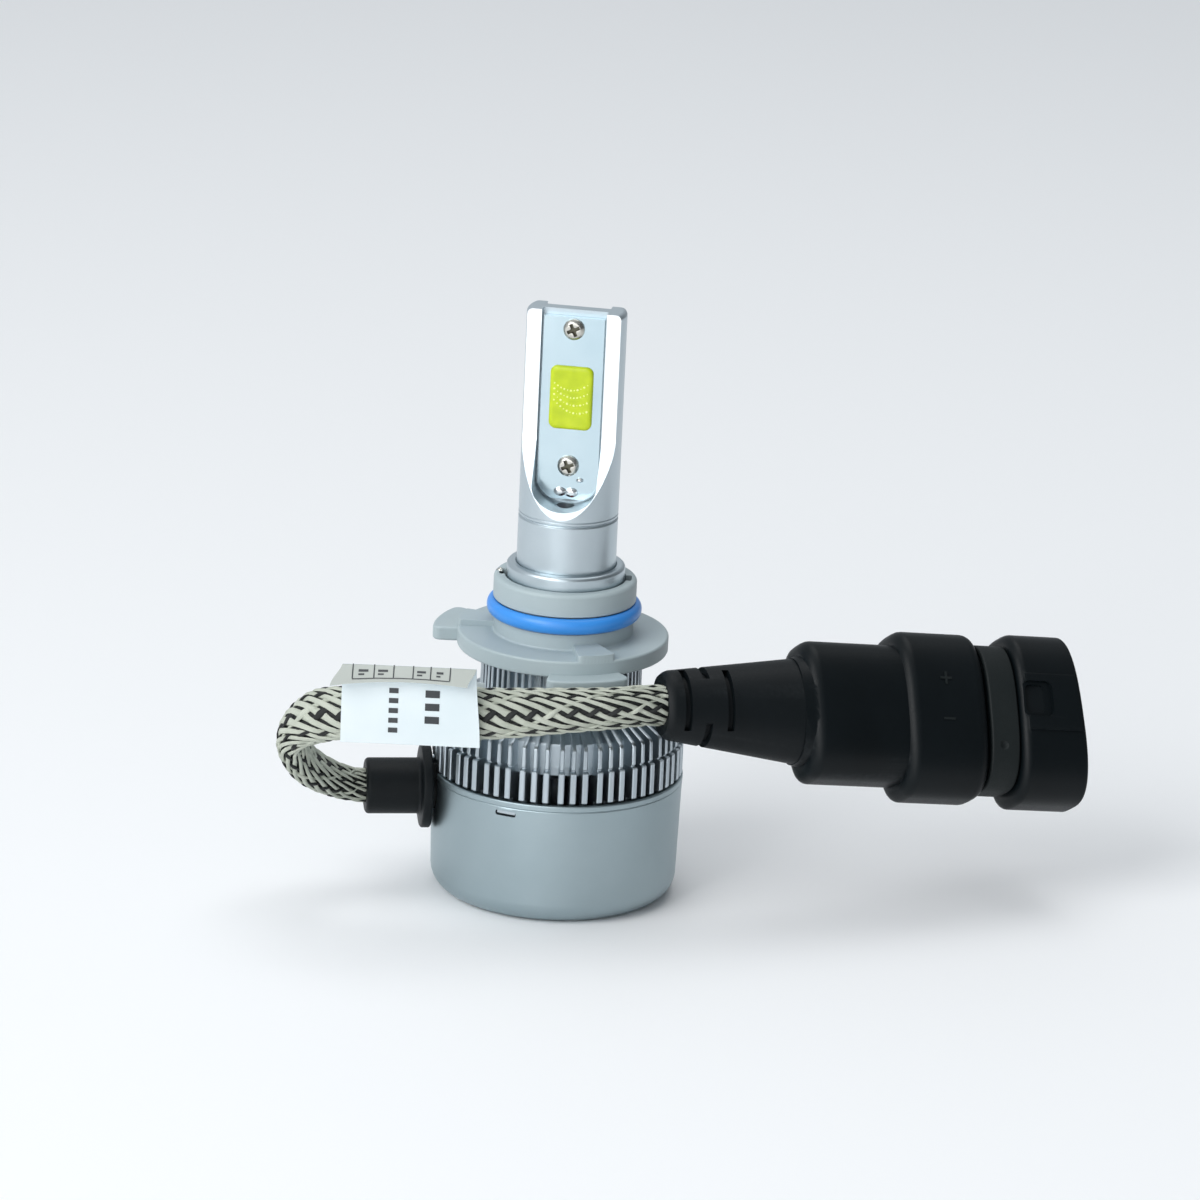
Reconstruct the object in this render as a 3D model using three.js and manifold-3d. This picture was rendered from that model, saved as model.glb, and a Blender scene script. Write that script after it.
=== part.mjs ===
// An LED headlight bulb for a single-beam reflector: a turned aluminium lamp bar with an LED board on each side,
// a twist-lock adapter collar with an O-ring, a finned heat sink over a fan in a snap-on shell, and a short braided
// lead that ends in a plug with the LED driver moulded into it.
// Millimetres, +Z up. The origin is the centre of the shell's flat end, and the LED boards face -Y and +Y.
import * as THREE from "three";
import { mergeVertices } from "three/addons/utils/BufferGeometryUtils.js";
import Module from "manifold-3d";

const wasm = await Module();
wasm.setup();

// ---------------------------------------------------------------- driving dimensions
const GAP = 0.3; // between pieces that meet inside a turned group, or around a cord

const SHELL = { radius: 18, foot: 17.5, height: 18, fillet: 3.2, wall: 0.8, floor: 1.2 };
const SINK = { bottom: 11.2, step: 22.9, shoulder: 26.3, neckTop: 29.6, top: 35.7 };
const SINK_R = { inShell: 16.5, lower: 17.9, upper: 17.5, neck: 11.5, core: 9, chamber: 4, bore: 5.1 };
const FIN = { groups: 20, perGroup: 3, pitch: 5.5, turn: -0.9, thick: 0.8 }; // pitch, turn in degrees
const HEAD = { radius: 7.05, top: 85.6, spigot: 5, spigotFoot: 24, hub: 8.25, hubFoot: 35.75, facet: 2.34 };
const RING = { foot: 46, top: 48.6, radius: 8.4, round: 0.7 };
const GROOVE_Z = 55.7;
const RAMP = { foot: 56.5, head: 66.2, blend: 1.6 }; // the cut's sloping run-out, up the bar
const CHANNEL = { width: 9.2, foot: 57.5, end: 3.4, web: 0.95 }; // web is half its thickness
const WIRE_BORE = { radius: 1.25, offset: 2.7 };
const BOARD = { width: 8.6, thick: 1, foot: 58.3, top: 84.7, play: 0.05 };
const EMITTER = { width: 6.1, height: 9.15, corner: 1, thick: 0.5, z: 73.1 };
const SCREW_Z = { top: 83, bottom: 63.2 };
const SCREW = { head: 1.5, headHigh: 0.75, shank: 0.7, hole: 0.85, reach: 1.65 };

const COLLAR = { foot: 36, flange: 38.4, top: 46.6, flangeR: 15, waistR: 9.9, upperR: 10.15, bore: 8.6 };
const O_RING = { foot: 40.85, top: 43.15, seat: 9.15, outer: 11 };
// Angles in degrees; half is a lug's half width and slotHalf an entry slot's.
const BAYONET = {
  foot: 44, top: 45.6, radius: 9.4, lugR: 9.2, lugPlay: 0.2, angle: 97, turned: 25, half: 6, slotHalf: 8,
};
const LUGS = [
  { angle: 22.5, half: 20, low: 34.3, high: 36.5, radius: 18 },
  { angle: -97.5, half: 17, low: 36, high: 38.05, radius: 18.6 },
  { angle: 158, half: 17, low: 34.3, high: 36.5, radius: 18 },
];
const BOSS = { from: -4.5, to: 17, high: 0.9 }; // raised pad beside each lug, in degrees from the lug's middle
const BALL = { radius: 0.5, at: 9.35, angle: -88 };

const FAN = { skirtFoot: 1.6, top: 10.1, outer: 16.3, inner: 15.5, hubBase: 6.2, bladeTip: 15, spokes: 3 };
const ROTOR = { radius: 6.4, foot: 3.4, top: 9.8, wall: 0.8, blades: 7, bladeLow: 4.6, bladeHigh: 9.4 };
const SHAFT = { radius: 0.75, foot: 2.75 };
const BEARING = { bore: 0.81, radius: 1.6, foot: 2.9, top: 7.6 };
const VENT = { count: 8, inner: 6.6, outer: 13.6, rib: 1.7 };
const SNAP = { angle: -13.6, z: 16.15, width: 3.1, high: 0.75 };

const GROMMET = { angle: -73, z: 15, collarR: 6, sleeveR: 4, neckR: 3.2, bore: 2.4, mouth: 26.9 };
const CORD_R = 2.5;
// The lead's middle line, from the grommet's mouth, round the loop, across the front of the waist, to the boot.
const CORD_ROUTE = [
  [-26.1, -8.0, 15.0], [-28.2, -8.8, 15.3], [-30.2, -10.6, 16.4], [-32.1, -13.2, 18.2], [-33.7, -16.1, 20.6],
  [-34.5, -18.6, 23.3], [-34.4, -20.9, 26.0], [-32.7, -22.8, 28.4], [-29.9, -24.1, 30.2], [-26.9, -24.9, 31.2],
  [-23.4, -25.1, 31.6], [-18.5, -24.6, 31.9], [-11.6, -23.5, 32.2], [-4.8, -22.3, 32.5], [0.6, -21.1, 32.9],
  [6.0, -19.8, 33.3], [10.7, -18.2, 33.5], [13.9, -16.1, 33.5], [17.2, -13.5, 33.1],
];
const LABEL = { from: -24, to: -7.2, back: 2.9, front: 3.4, low: 3, high: 4.2, sheet: 0.35, flap: 4 };

// The plug's place, and its axis: where it points, how it falls from level, and its roll, in degrees.
const PLUG = { at: [16.6, -13.9, 33.2], azimuth: 32, fall: 7.4, roll: 33 };
const BOOT = { length: 21.2, start: [4.85, 3.2], end: [7.7, 4.9], cordDepth: 4 };
const BOOT_SLOT = { at: [2.8, 5.9, 9.1], width: 8.4, long: 1.1, depth: 4, side: 5.1 };
const CASE = { start: 21.5, step: 35.9, end: 48.7, rear: [10.1, 5.4], front: [12.15, 6.3], wall: 1.3, edge: 1.2 };
const SOCKET = { start: 48.7, rim: 53.75, end: 64.4, neck: [9.9, 5], shell: [12.5, 6.6], wall: 1.3, floor: 54.5 };
const SEAL = { wall: 0.8, corner: 0.3 };
const LATCH_WINDOW = { x: 1.7, z: 56, width: 4.2, length: 3 };
const TERMINAL = { spread: 4.2, width: 2.8, thick: 0.8, from: 44.3, to: 58.4, play: 0.6 };
const DRIVER_BOARD = { y: -1.6, z: 35.1, width: 14, thick: 1.2, length: 21 };
const WIREWAY_R = 2;

// ---------------------------------------------------------------- materials
const material = (color, roughness, metalness) =>
  new THREE.MeshStandardMaterial({ color, roughness, metalness });
const MATERIALS = {
  castAluminium: material(0xa9b3b8, 0.45, 0.9),
  turnedAluminium: material(0xb4c0c6, 0.35, 0.95),
  boardMirror: material(0xd5e2e8, 0.15, 1),
  phosphor: material(0xcfe21a, 0.4, 0),
  steel: material(0xc9c9c4, 0.3, 1),
  greyNylon: material(0xa7b6bb, 0.6, 0),
  blueSilicone: material(0x2f8fe0, 0.45, 0),
  blackPlastic: material(0x0c1114, 0.5, 0),
  blackRubber: material(0x0a0d0f, 0.65, 0),
  braid: material(0xc9cbb8, 0.8, 0),
  paper: material(0xd9e8ec, 0.8, 0),
  copper: material(0xb4703c, 0.4, 0.9),
  brass: material(0xc8a24c, 0.35, 0.9),
  ferrite: material(0x3a3a3c, 0.7, 0),
  greenBoard: material(0x1f5a35, 0.6, 0),
  redWire: material(0xa81f1c, 0.5, 0),
  blackWire: material(0x17181a, 0.5, 0),
};

// ---------------------------------------------------------------- geometry helpers
const radians = (degrees) => (degrees * Math.PI) / 180;
// The direction at an angle round the bulb, measured from -Y towards +X.
const around = (degrees) => [Math.sin(radians(degrees)), -Math.cos(radians(degrees))];

// A closed geometry as a solid for cutting and joining.
function toSolid(geometry) {
  const bare = geometry.index ? geometry.toNonIndexed() : geometry.clone();
  for (const name of ["normal", "uv"]) bare.deleteAttribute(name);
  const merged = mergeVertices(bare, 1e-4);
  const index = Array.from(merged.index.array);
  const triVerts = [];
  for (let i = 0; i < index.length; i += 3) {
    const [a, b, c] = index.slice(i, i + 3);
    if (a !== b && b !== c && a !== c) triVerts.push(a, b, c);
  }
  const make = (triangles) =>
    new wasm.Manifold(
      new wasm.Mesh({
        numProp: 3,
        vertProperties: new Float32Array(merged.attributes.position.array),
        triVerts: new Uint32Array(triangles),
      }),
    );
  const solid = make(triVerts);
  return solid.volume() > 0 ? solid : make(triVerts.reverse());
}

function toGeometry(solid) {
  const mesh = solid.getMesh();
  const positions = new Float32Array(mesh.numVert * 3);
  for (let i = 0; i < mesh.numVert; i++)
    positions.set(mesh.vertProperties.subarray(i * mesh.numProp, i * mesh.numProp + 3), i * 3);
  const geometry = new THREE.BufferGeometry();
  geometry.setAttribute("position", new THREE.BufferAttribute(positions, 3));
  geometry.setIndex(new THREE.BufferAttribute(mesh.triVerts, 1));
  geometry.computeVertexNormals();
  return geometry;
}

const join = (solids) => solids.reduce((all, solid) => all.add(solid));
const cut = (solid, cutters) => cutters.reduce((left, cutter) => left.subtract(cutter), solid);

// A profile of [radius, height] points turned about +Z.
function turned(profile, segments = 48) {
  const points = profile.map(([r, z]) => new THREE.Vector2(r, z));
  if (profile[0][0] > 0) points.push(points[0].clone());
  return toSolid(new THREE.LatheGeometry(points, segments).rotateX(Math.PI / 2));
}

// A flat outline of [x, y] points or a Shape, from z = low to z = high.
function slab(outline, low, high, curveSegments = 8) {
  const shape = Array.isArray(outline)
    ? new THREE.Shape(outline.map(([x, y]) => new THREE.Vector2(x, y)))
    : outline;
  const geometry = new THREE.ExtrudeGeometry(shape, { depth: high - low, bevelEnabled: false, curveSegments });
  return toSolid(geometry.translate(0, 0, low));
}

const box = (x, y, z, dx, dy, dz) => toSolid(new THREE.BoxGeometry(dx, dy, dz).translate(x, y, z));

// A cylinder along +Z.
const rod = (radius, low, high, segments = 24, x = 0, y = 0) =>
  toSolid(
    new THREE.CylinderGeometry(radius, radius, high - low, segments)
      .rotateX(Math.PI / 2)
      .translate(x, y, (low + high) / 2),
  );

// Points on an arc of the given centre and radius, both ends included.
function arc(cx, cy, radius, fromDegrees, toDegrees, steps) {
  return Array.from({ length: steps + 1 }, (_, i) => {
    const a = radians(fromDegrees + ((toDegrees - fromDegrees) * i) / steps);
    return [cx + radius * Math.cos(a), cy + radius * Math.sin(a)];
  });
}

// A ring sector between two radii and two angles round the bulb.
function sector(inner, outer, fromDegrees, toDegrees, low, high) {
  const steps = Math.max(2, Math.round(Math.abs(toDegrees - fromDegrees) / 7));
  const rim = arc(0, 0, outer, fromDegrees - 90, toDegrees - 90, steps);
  const root = arc(0, 0, inner, toDegrees - 90, fromDegrees - 90, steps);
  return slab([...rim, ...root], low, high);
}

// A rounded rectangle, half sizes a by b, centred on the origin.
function roundedRectangle(a, b, corner) {
  const shape = new THREE.Shape();
  shape.moveTo(a - corner, -b);
  shape.absarc(a - corner, -b + corner, corner, -Math.PI / 2, 0, false);
  shape.absarc(a - corner, b - corner, corner, 0, Math.PI / 2, false);
  shape.absarc(-a + corner, b - corner, corner, Math.PI / 2, Math.PI, false);
  shape.absarc(-a + corner, -b + corner, corner, Math.PI, Math.PI * 1.5, false);
  return shape;
}

// A round tube along a smooth curve through the points.
function tube(points, radius, steps, sides = 8) {
  const path = new THREE.CatmullRomCurve3(points.map((p) => new THREE.Vector3(...p)));
  const rim = arc(0, 0, radius, 0, 360 - 360 / sides, sides - 1);
  const circle = new THREE.Shape(rim.map(([x, y]) => new THREE.Vector2(x, y)));
  return toSolid(new THREE.ExtrudeGeometry(circle, { steps, extrudePath: path, bevelEnabled: false }));
}

// Turns a solid built along +Z so that its axis points outwards from the bulb at an angle and height.
function outwards(solid, degrees, z) {
  const [x, y] = around(degrees);
  const basis = new THREE.Matrix4().makeBasis(
    new THREE.Vector3(-y, x, 0),
    new THREE.Vector3(0, 0, 1),
    new THREE.Vector3(x, y, 0),
  );
  basis.setPosition(0, 0, z);
  return toSolid(toGeometry(solid).applyMatrix4(basis));
}

const spun = (solid, degrees) => solid.rotate([0, 0, degrees]);
const mirrored = (solid) => spun(solid, 180);

// ---------------------------------------------------------------- assembly
const bulb = new THREE.Group();
function add(name, solid, look, parent = bulb) {
  const mesh = new THREE.Mesh(toGeometry(solid), MATERIALS[look]);
  mesh.name = name;
  parent.add(mesh);
}

// ---------------------------------------------------------------- shell and fan
function fanShell() {
  const inner = SHELL.radius - SHELL.wall;
  const innerFoot = SHELL.foot - SHELL.wall;
  const innerFillet = SHELL.fillet - 1;
  const cup = turned([
    [0, 0],
    ...arc(SHELL.foot - SHELL.fillet, SHELL.fillet, SHELL.fillet, -90, 0, 3),
    [SHELL.radius, SHELL.height - 0.3],
    [SHELL.radius - 0.25, SHELL.height],
    [inner, SHELL.height],
    ...arc(innerFoot - innerFillet, SHELL.floor + innerFillet, innerFillet, 0, -90, 2),
    [0, SHELL.floor],
  ], 48);
  const pitch = 360 / VENT.count;
  const half = pitch / 2 - (VENT.rib / 2 / VENT.outer) * (180 / Math.PI) - 1.5;
  const vents = Array.from({ length: VENT.count }, (_, i) =>
    sector(VENT.inner, VENT.outer, i * pitch - half, i * pitch + half, -1, SHELL.floor + 1));
  const slots = [0, 120, 240].map((turn) =>
    outwards(slab(roundedRectangle(SNAP.width / 2, SNAP.high / 2, 0.3), 16, 19), SNAP.angle + turn, SNAP.z));
  const notchR = GROMMET.neckR + 0.4;
  const notch = outwards(
    join([rod(notchR, 14, 20, 20), box(0, 3, 17, 2 * notchR, 6, 6)]), GROMMET.angle, GROMMET.z);
  return cut(cup, [...vents, ...slots, notch]);
}

function fanFrame() {
  const { skirtFoot: foot, top, outer, inner, hubBase } = FAN;
  const skirt = turned([
    [14, foot], [14.5, foot], [outer, foot + 2], [outer, top], [inner, top], [inner, foot + 2.6], [14, foot + 1.2],
  ], 48);
  const post = BEARING.radius + 0.05;
  const base = turned([
    [0, foot], [hubBase, foot], [hubBase, foot + 1], [2.5, foot + 1], [2.5, 8], [post, 8], [post, 2.7], [0, 2.7],
  ], 24);
  const spokes = Array.from({ length: FAN.spokes }, (_, i) =>
    spun(box(10.1, 0, foot + 0.5, 8.4, 1.6, 1), (360 / FAN.spokes) * i + 17));
  return join([skirt, base, ...spokes]);
}

function bearing() {
  const { bore, radius, foot, top } = BEARING;
  return turned([[bore, foot], [radius, foot], [radius, top], [bore, top]], 24);
}

// Hub cup and its curved, pitched blades.
function fanRotor() {
  const { radius, foot, top, wall, bladeLow, bladeHigh } = ROTOR;
  const cup = turned([
    [SHAFT.radius + 0.02, top - wall], [radius - wall, top - wall], [radius - wall, foot], [radius, foot],
    [radius, top - 0.5], [radius - 0.5, top], [SHAFT.radius + 0.02, top],
  ], 24);
  const mid = (bladeLow + bladeHigh) / 2;
  const lean = 2.6;
  const face = [-1, -0.5, 0, 0.5, 1].map((t) => [lean * t - 0.5 * t * t, mid + ((bladeHigh - bladeLow) / 2) * t]);
  const section = [...face.map(([x, z]) => [x - 0.28, z]), ...face.reverse().map(([x, z]) => [x + 0.28, z])];
  const plate = toSolid(
    new THREE.ExtrudeGeometry(new THREE.Shape(section.map(([x, z]) => new THREE.Vector2(x, z))), {
      depth: FAN.bladeTip - radius + 3,
      bevelEnabled: false,
    }).rotateX(Math.PI / 2),
  );
  const annulus = turned([[radius - 0.2, 0], [FAN.bladeTip, 0], [FAN.bladeTip, 20], [radius - 0.2, 20]], 48);
  const blade = plate.translate([0, -(radius - 1.5), 0]).intersect(annulus);
  const blades = Array.from({ length: ROTOR.blades }, (_, i) => spun(blade, (360 / ROTOR.blades) * i));
  return join([cup, ...blades]);
}

function fanStator() {
  const core = turned([[2.6, 4.4], [3.1, 4.4], [3.1, 8], [2.6, 8]], 24);
  const poles = [0, 90, 180, 270].map((a) =>
    spun(join([box(3.5, 0, 6.2, 1.2, 1.4, 3.2), sector(3.9, 4.5, 62, 118, 4.6, 7.8)]), a));
  return join([core, ...poles]);
}

// ---------------------------------------------------------------- heat sink and lamp bar
function heatSink() {
  const core = turned([
    [SINK_R.chamber, SINK.bottom], [SINK_R.core, SINK.bottom], [SINK_R.core, SINK.top], [SINK_R.bore, SINK.top],
    [SINK_R.bore, HEAD.spigotFoot - 0.1], [SINK_R.chamber, HEAD.spigotFoot - 0.1],
  ], 40);
  const root = SINK_R.core - 0.6;
  const sleeve = SHELL.height + GAP;
  const outline = [
    [root, SINK.bottom], [SINK_R.inShell, SINK.bottom], [SINK_R.inShell, sleeve], [SINK_R.lower, sleeve],
    [SINK_R.lower, SINK.step], [SINK_R.upper, SINK.step + 0.3], [SINK_R.upper, SINK.shoulder],
    [SINK_R.neck, SINK.neckTop], [SINK_R.neck, SINK.top], [root, SINK.top],
  ];
  const fin = toSolid(toGeometry(slab(outline, -FIN.thick / 2, FIN.thick / 2)).rotateX(Math.PI / 2));
  const fins = [];
  for (let group = 0; group < FIN.groups; group++)
    for (let i = 0; i < FIN.perGroup; i++)
      fins.push(spun(fin, (360 / FIN.groups) * group + FIN.pitch * (i - (FIN.perGroup - 1) / 2) + FIN.turn - 90));
  const barbs = [0, 120, 240].map((turn) =>
    sector(15.6, 16.95, SNAP.angle + turn - 4, SNAP.angle + turn + 4, SNAP.z - 0.25, SNAP.z + 0.25));
  const pocket = outwards(join([rod(5.1, 12, 20, 20), box(0, -3, 16, 10.2, 6, 8)]), GROMMET.angle, GROMMET.z);
  const wireway = outwards(rod(2.4, 2, 14, 16), GROMMET.angle, GROMMET.z);
  return cut(join([core, ...fins, ...barbs]), [pocket, wireway]);
}

// What is milled away in front of one face of the bar: down to the facet, with a sloping run-out at its foot.
function facetCutter() {
  const { foot, head, blend } = RAMP;
  const slope = (HEAD.radius - HEAD.facet) / (head - foot);
  const knee = [-1, -0.5, 0, 0.5, 1].map((t) => {
    const z = head + t * blend;
    const rise = t < 1 ? (slope * (blend * (1 - t)) ** 2) / (4 * blend) : 0;
    return [HEAD.facet + rise, z];
  });
  const low = foot - 0.6 / slope;
  const outline = [[HEAD.radius + 0.6, low], ...knee, [HEAD.facet, 90], [12, 90], [12, low]];
  const prism = slab(outline, -10, 10);
  const basis = new THREE.Matrix4().makeBasis(
    new THREE.Vector3(0, -1, 0), new THREE.Vector3(0, 0, 1), new THREE.Vector3(-1, 0, 0));
  return toSolid(toGeometry(prism).applyMatrix4(basis));
}

// An upright outline with a half-oval foot, in x and z, as a solid from depth near to far in front of the bar.
function uprightSlab(half, foot, end, top, near, far, flatFoot = foot) {
  const shape = new THREE.Shape();
  const rise = Math.min(1, (foot + end - flatFoot) / end);
  const start = Math.asin(rise);
  shape.moveTo(half, top);
  shape.lineTo(-half, top);
  shape.absellipse(0, foot + end, half, end, Math.PI, Math.PI + start, false);
  if (flatFoot === foot) shape.absellipse(0, foot + end, half, end, Math.PI + start, 2 * Math.PI, false);
  else shape.absellipse(0, foot + end, half, end, 2 * Math.PI - start, 2 * Math.PI, false);
  return toSolid(toGeometry(slab(shape, near, far, 7)).rotateX(Math.PI / 2));
}

function lampHead() {
  const { radius, top, spigot, spigotFoot, hub, hubFoot } = HEAD;
  const bar = turned([
    [0, spigotFoot], [spigot, spigotFoot], [spigot, hubFoot], [hub, hubFoot], [hub, RING.foot],
    [RING.radius, RING.foot],
    ...arc(RING.radius - RING.round, RING.top - RING.round, RING.round, 0, 90, 2),
    [radius + 0.05, RING.top - 0.35], [radius, RING.top + 0.2],
    [radius, GROOVE_Z - 0.3], [radius - 0.25, GROOVE_Z], [radius, GROOVE_Z + 0.3],
    [radius, top - 0.5], [radius - 0.5, top], [0, top],
  ], 48);
  const lugs = [BAYONET.angle + BAYONET.turned, BAYONET.angle + BAYONET.turned + 180].map((a) =>
    sector(hub - 0.5, BAYONET.lugR, a - BAYONET.half, a + BAYONET.half,
      BAYONET.foot + BAYONET.lugPlay, BAYONET.top - BAYONET.lugPlay));
  const facet = facetCutter();
  const channel = uprightSlab(CHANNEL.width / 2, CHANNEL.foot, CHANNEL.end, 90, CHANNEL.web, 9);
  const bores = [-1, 1].map((side) => rod(WIRE_BORE.radius, 20, 60, 16, 0, side * WIRE_BORE.offset));
  const holes = Object.values(SCREW_Z).map((z) =>
    toSolid(toGeometry(rod(SCREW.hole, -3, 3, 16)).rotateX(Math.PI / 2)).translate([0, 0, z]));
  return cut(join([bar, ...lugs]), [facet, mirrored(facet), channel, mirrored(channel), ...bores, ...holes]);
}

// ---------------------------------------------------------------- LED boards, on the -Y face
const boardFace = CHANNEL.web + BOARD.play + BOARD.thick; // how far the board's front stands from the bar's middle

function ledBoard() {
  const plate = uprightSlab(
    BOARD.width / 2, BOARD.foot - 0.5, CHANNEL.end - 0.3, BOARD.top, boardFace - BOARD.thick, boardFace, BOARD.foot);
  const holes = Object.values(SCREW_Z).map((z) =>
    toSolid(toGeometry(rod(SCREW.hole + 0.1, -4, 4, 16)).rotateX(Math.PI / 2)).translate([0, 0, z]));
  return cut(plate, holes);
}

function ledEmitter() {
  const shape = roundedRectangle(EMITTER.width / 2, EMITTER.height / 2, EMITTER.corner);
  const near = boardFace + 0.02;
  const patch = toSolid(toGeometry(slab(shape, near, near + EMITTER.thick, 4)).rotateX(Math.PI / 2));
  return patch.translate([0, 0, EMITTER.z]);
}

// A pan-head cross-recess screw, its head against the board.
function boardScrew(z) {
  const seat = boardFace + 0.02;
  const tip = seat - SCREW.reach;
  const body = turned([
    [0, tip], [SCREW.shank, tip], [SCREW.shank, seat], [SCREW.head, seat], [SCREW.head, seat + 0.3],
    [SCREW.head * 0.75, seat + 0.65], [0, seat + SCREW.headHigh],
  ], 20);
  const recess = [0, 90].map((a) => spun(box(0, 0, seat + SCREW.headHigh, 1.5, 0.4, 0.7), a + 25));
  return toSolid(toGeometry(cut(body, recess)).rotateX(Math.PI / 2)).translate([0, 0, z]);
}

// One insulated wire from the foot of the board down the bar's bore into the heat sink.
const ledWire = (side) => tube([
  [side * 0.56, -2.7, 56.2], [side * 0.56, -2.7, 48], [side * 0.56, -2.7, 40], [side * 0.56, -2.7, 23],
  [side * 0.8, -2.3, 21],
], 0.4, 14);

// ---------------------------------------------------------------- adapter collar
function collar() {
  const { foot, flange, top, flangeR, waistR, upperR, bore } = COLLAR;
  const body = turned([
    [bore, foot], [flangeR - 0.25, foot], [flangeR, foot + 0.25], [flangeR, flange - 0.25], [flangeR - 0.25, flange],
    [waistR, flange], [waistR, O_RING.foot - 0.15], [O_RING.seat, O_RING.foot - 0.15], [O_RING.seat, O_RING.top + 0.15],
    [upperR, O_RING.top + 0.15], ...arc(upperR - 0.6, top - 0.6, 0.6, 0, 90, 3), [bore, top],
    [bore, BAYONET.top], [BAYONET.radius, BAYONET.top], [BAYONET.radius, BAYONET.foot], [bore, BAYONET.foot],
  ], 48);
  const lugs = LUGS.map(({ angle, half, low, high, radius }) =>
    sector(SINK_R.neck + 0.4, radius, angle - half, angle + half, low, high));
  const bosses = LUGS.map(({ angle }) =>
    sector(waistR - 0.5, flangeR, angle + BOSS.from, angle + BOSS.to, flange - 0.5, flange + BOSS.high));
  const keyways = [BAYONET.angle, BAYONET.angle + 180].map((a) =>
    sector(bore - 1, BAYONET.radius, a - BAYONET.slotHalf, a + BAYONET.slotHalf, BAYONET.top - 1, top + 1));
  const [bx, by] = around(BALL.angle);
  const dimple = toSolid(new THREE.SphereGeometry(BALL.radius + 0.12, 12, 8)
    .translate(bx * BALL.at, by * BALL.at, top - 0.25));
  return cut(join([body, ...lugs, ...bosses]), [...keyways, dimple]);
}

function detentBall() {
  const [x, y] = around(BALL.angle);
  return toSolid(new THREE.SphereGeometry(BALL.radius, 12, 8).translate(x * BALL.at, y * BALL.at, COLLAR.top - 0.25));
}

function oRing() {
  const mid = (O_RING.foot + O_RING.top) / 2;
  const centre = (O_RING.seat + 0.05 + O_RING.outer) / 2;
  const [a, b] = [(O_RING.outer - O_RING.seat - 0.05) / 2, (O_RING.top - O_RING.foot) / 2];
  return turned(arc(0, 0, 1, 0, 315, 7).map(([x, y]) => [centre + a * x, mid + b * y]), 48);
}

// ---------------------------------------------------------------- grommet, lead and label
function grommet() {
  const { collarR, sleeveR, neckR, bore, mouth } = GROMMET;
  const body = turned([
    [bore, 14.6], [4.4, 14.6], [4.6, 15], [4.6, 15.7], [neckR, 16.1], [neckR, 18.2], [collarR - 0.2, 18.2],
    [collarR, 18.4], [collarR, 19.4], [collarR - 0.2, 19.6], [sleeveR, 19.6], [sleeveR, mouth - 0.4],
    [sleeveR - 0.4, mouth], [bore, mouth],
  ], 24);
  return outwards(body, GROMMET.angle, GROMMET.z);
}

// One of the two supply wires inside: through the grommet and the heat sink's wall, then up its chamber.
function supplyWire(side) {
  const [x, y] = around(GROMMET.angle);
  const at = (out, across, z) => [x * out - y * across, y * out + x * across, z];
  return tube([
    at(GROMMET.mouth - 1, side * 1.05, GROMMET.z), at(16, side * 1.05, GROMMET.z), at(6, side * 1.05, GROMMET.z),
    at(3, side * 1.05, GROMMET.z + 0.6), at(1.8, side * 1.2, GROMMET.z + 2.5), at(1.7, side * 1.2, GROMMET.z + 4.6),
  ], 0.75, 16);
}

const leadSleeve = () => tube(CORD_ROUTE, CORD_R, 34);

// The paper flag folded round the lead, with its free end standing up and tipped forwards.
function leadLabel() {
  const { from, to, back, front, low, high, sheet, flap } = LABEL;
  const section = new THREE.Shape([
    [-back - sheet, -low - sheet], [front + sheet, -low - sheet], [front + sheet, high + 0.2],
    [front + sheet + 1, high + flap], [front + 1, high + flap + 0.2], [front - 0.1, high + sheet],
    [-back - sheet, high + sheet],
  ].map(([x, y]) => new THREE.Vector2(x, y)));
  section.holes.push(new THREE.Path([
    [-back, -low], [-back, high], [front - 0.3, high], [front, high - 0.3], [front, -low],
  ].map(([x, y]) => new THREE.Vector2(x, y))));
  const path = new THREE.CatmullRomCurve3(CORD_ROUTE.map((p) => new THREE.Vector3(...p)));
  const ends = [from, to].map((x) => {
    const points = path.getSpacedPoints(200);
    return points.reduce((best, p) => (p.z > 25 && Math.abs(p.x - x) < Math.abs(best.x - x) ? p : best));
  });
  const along = ends[1].clone().sub(ends[0]);
  const forward = new THREE.Vector3(along.y, -along.x, 0).normalize();
  const up = new THREE.Vector3().crossVectors(along, forward).normalize();
  const basis = new THREE.Matrix4().makeBasis(forward, up.negate(), along.clone().normalize());
  basis.setPosition(ends[0]);
  return toSolid(toGeometry(slab(section, 0, along.length())).applyMatrix4(basis));
}

// ---------------------------------------------------------------- plug, built along its own +Z from the lead's end
// Its local x is its height, and its local y its thickness, towards the side with the latch window.
function flatOval([a, b], low, high, bevel = 0) {
  const corner = b * 0.85;
  const geometry = new THREE.ExtrudeGeometry(roundedRectangle(a - bevel, b - bevel, corner - bevel), {
    depth: high - low - 2 * bevel,
    bevelEnabled: bevel > 0,
    bevelSize: bevel,
    bevelThickness: bevel,
    bevelSegments: 2,
    curveSegments: 6,
  });
  return toSolid(geometry.translate(0, 0, low + bevel));
}

// Rubber boot: an oval taper with three pairs of relief slots near the lead.
function boot() {
  const { length, start, end, cordDepth } = BOOT;
  const taper = new THREE.CylinderGeometry(1, 1, length, 28, 2).rotateX(Math.PI / 2).translate(0, 0, length / 2);
  const position = taper.attributes.position;
  for (let i = 0; i < position.count; i++) {
    const t = position.getZ(i) / length;
    position.setX(i, position.getX(i) * THREE.MathUtils.lerp(start[0], end[0], t));
    position.setY(i, position.getY(i) * THREE.MathUtils.lerp(start[1], end[1], t));
  }
  const { width, depth, long, side } = BOOT_SLOT;
  const slots = BOOT_SLOT.at.flatMap((z) => [-1, 1].map((face) => box(0, face * side, z, width, depth, long)));
  const mouth = rod(CORD_R + GAP, -1, cordDepth, 16);
  return cut(toSolid(taper), [...slots, mouth, rod(WIREWAY_R, cordDepth - 1, length + 1, 16)]);
}

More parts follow.
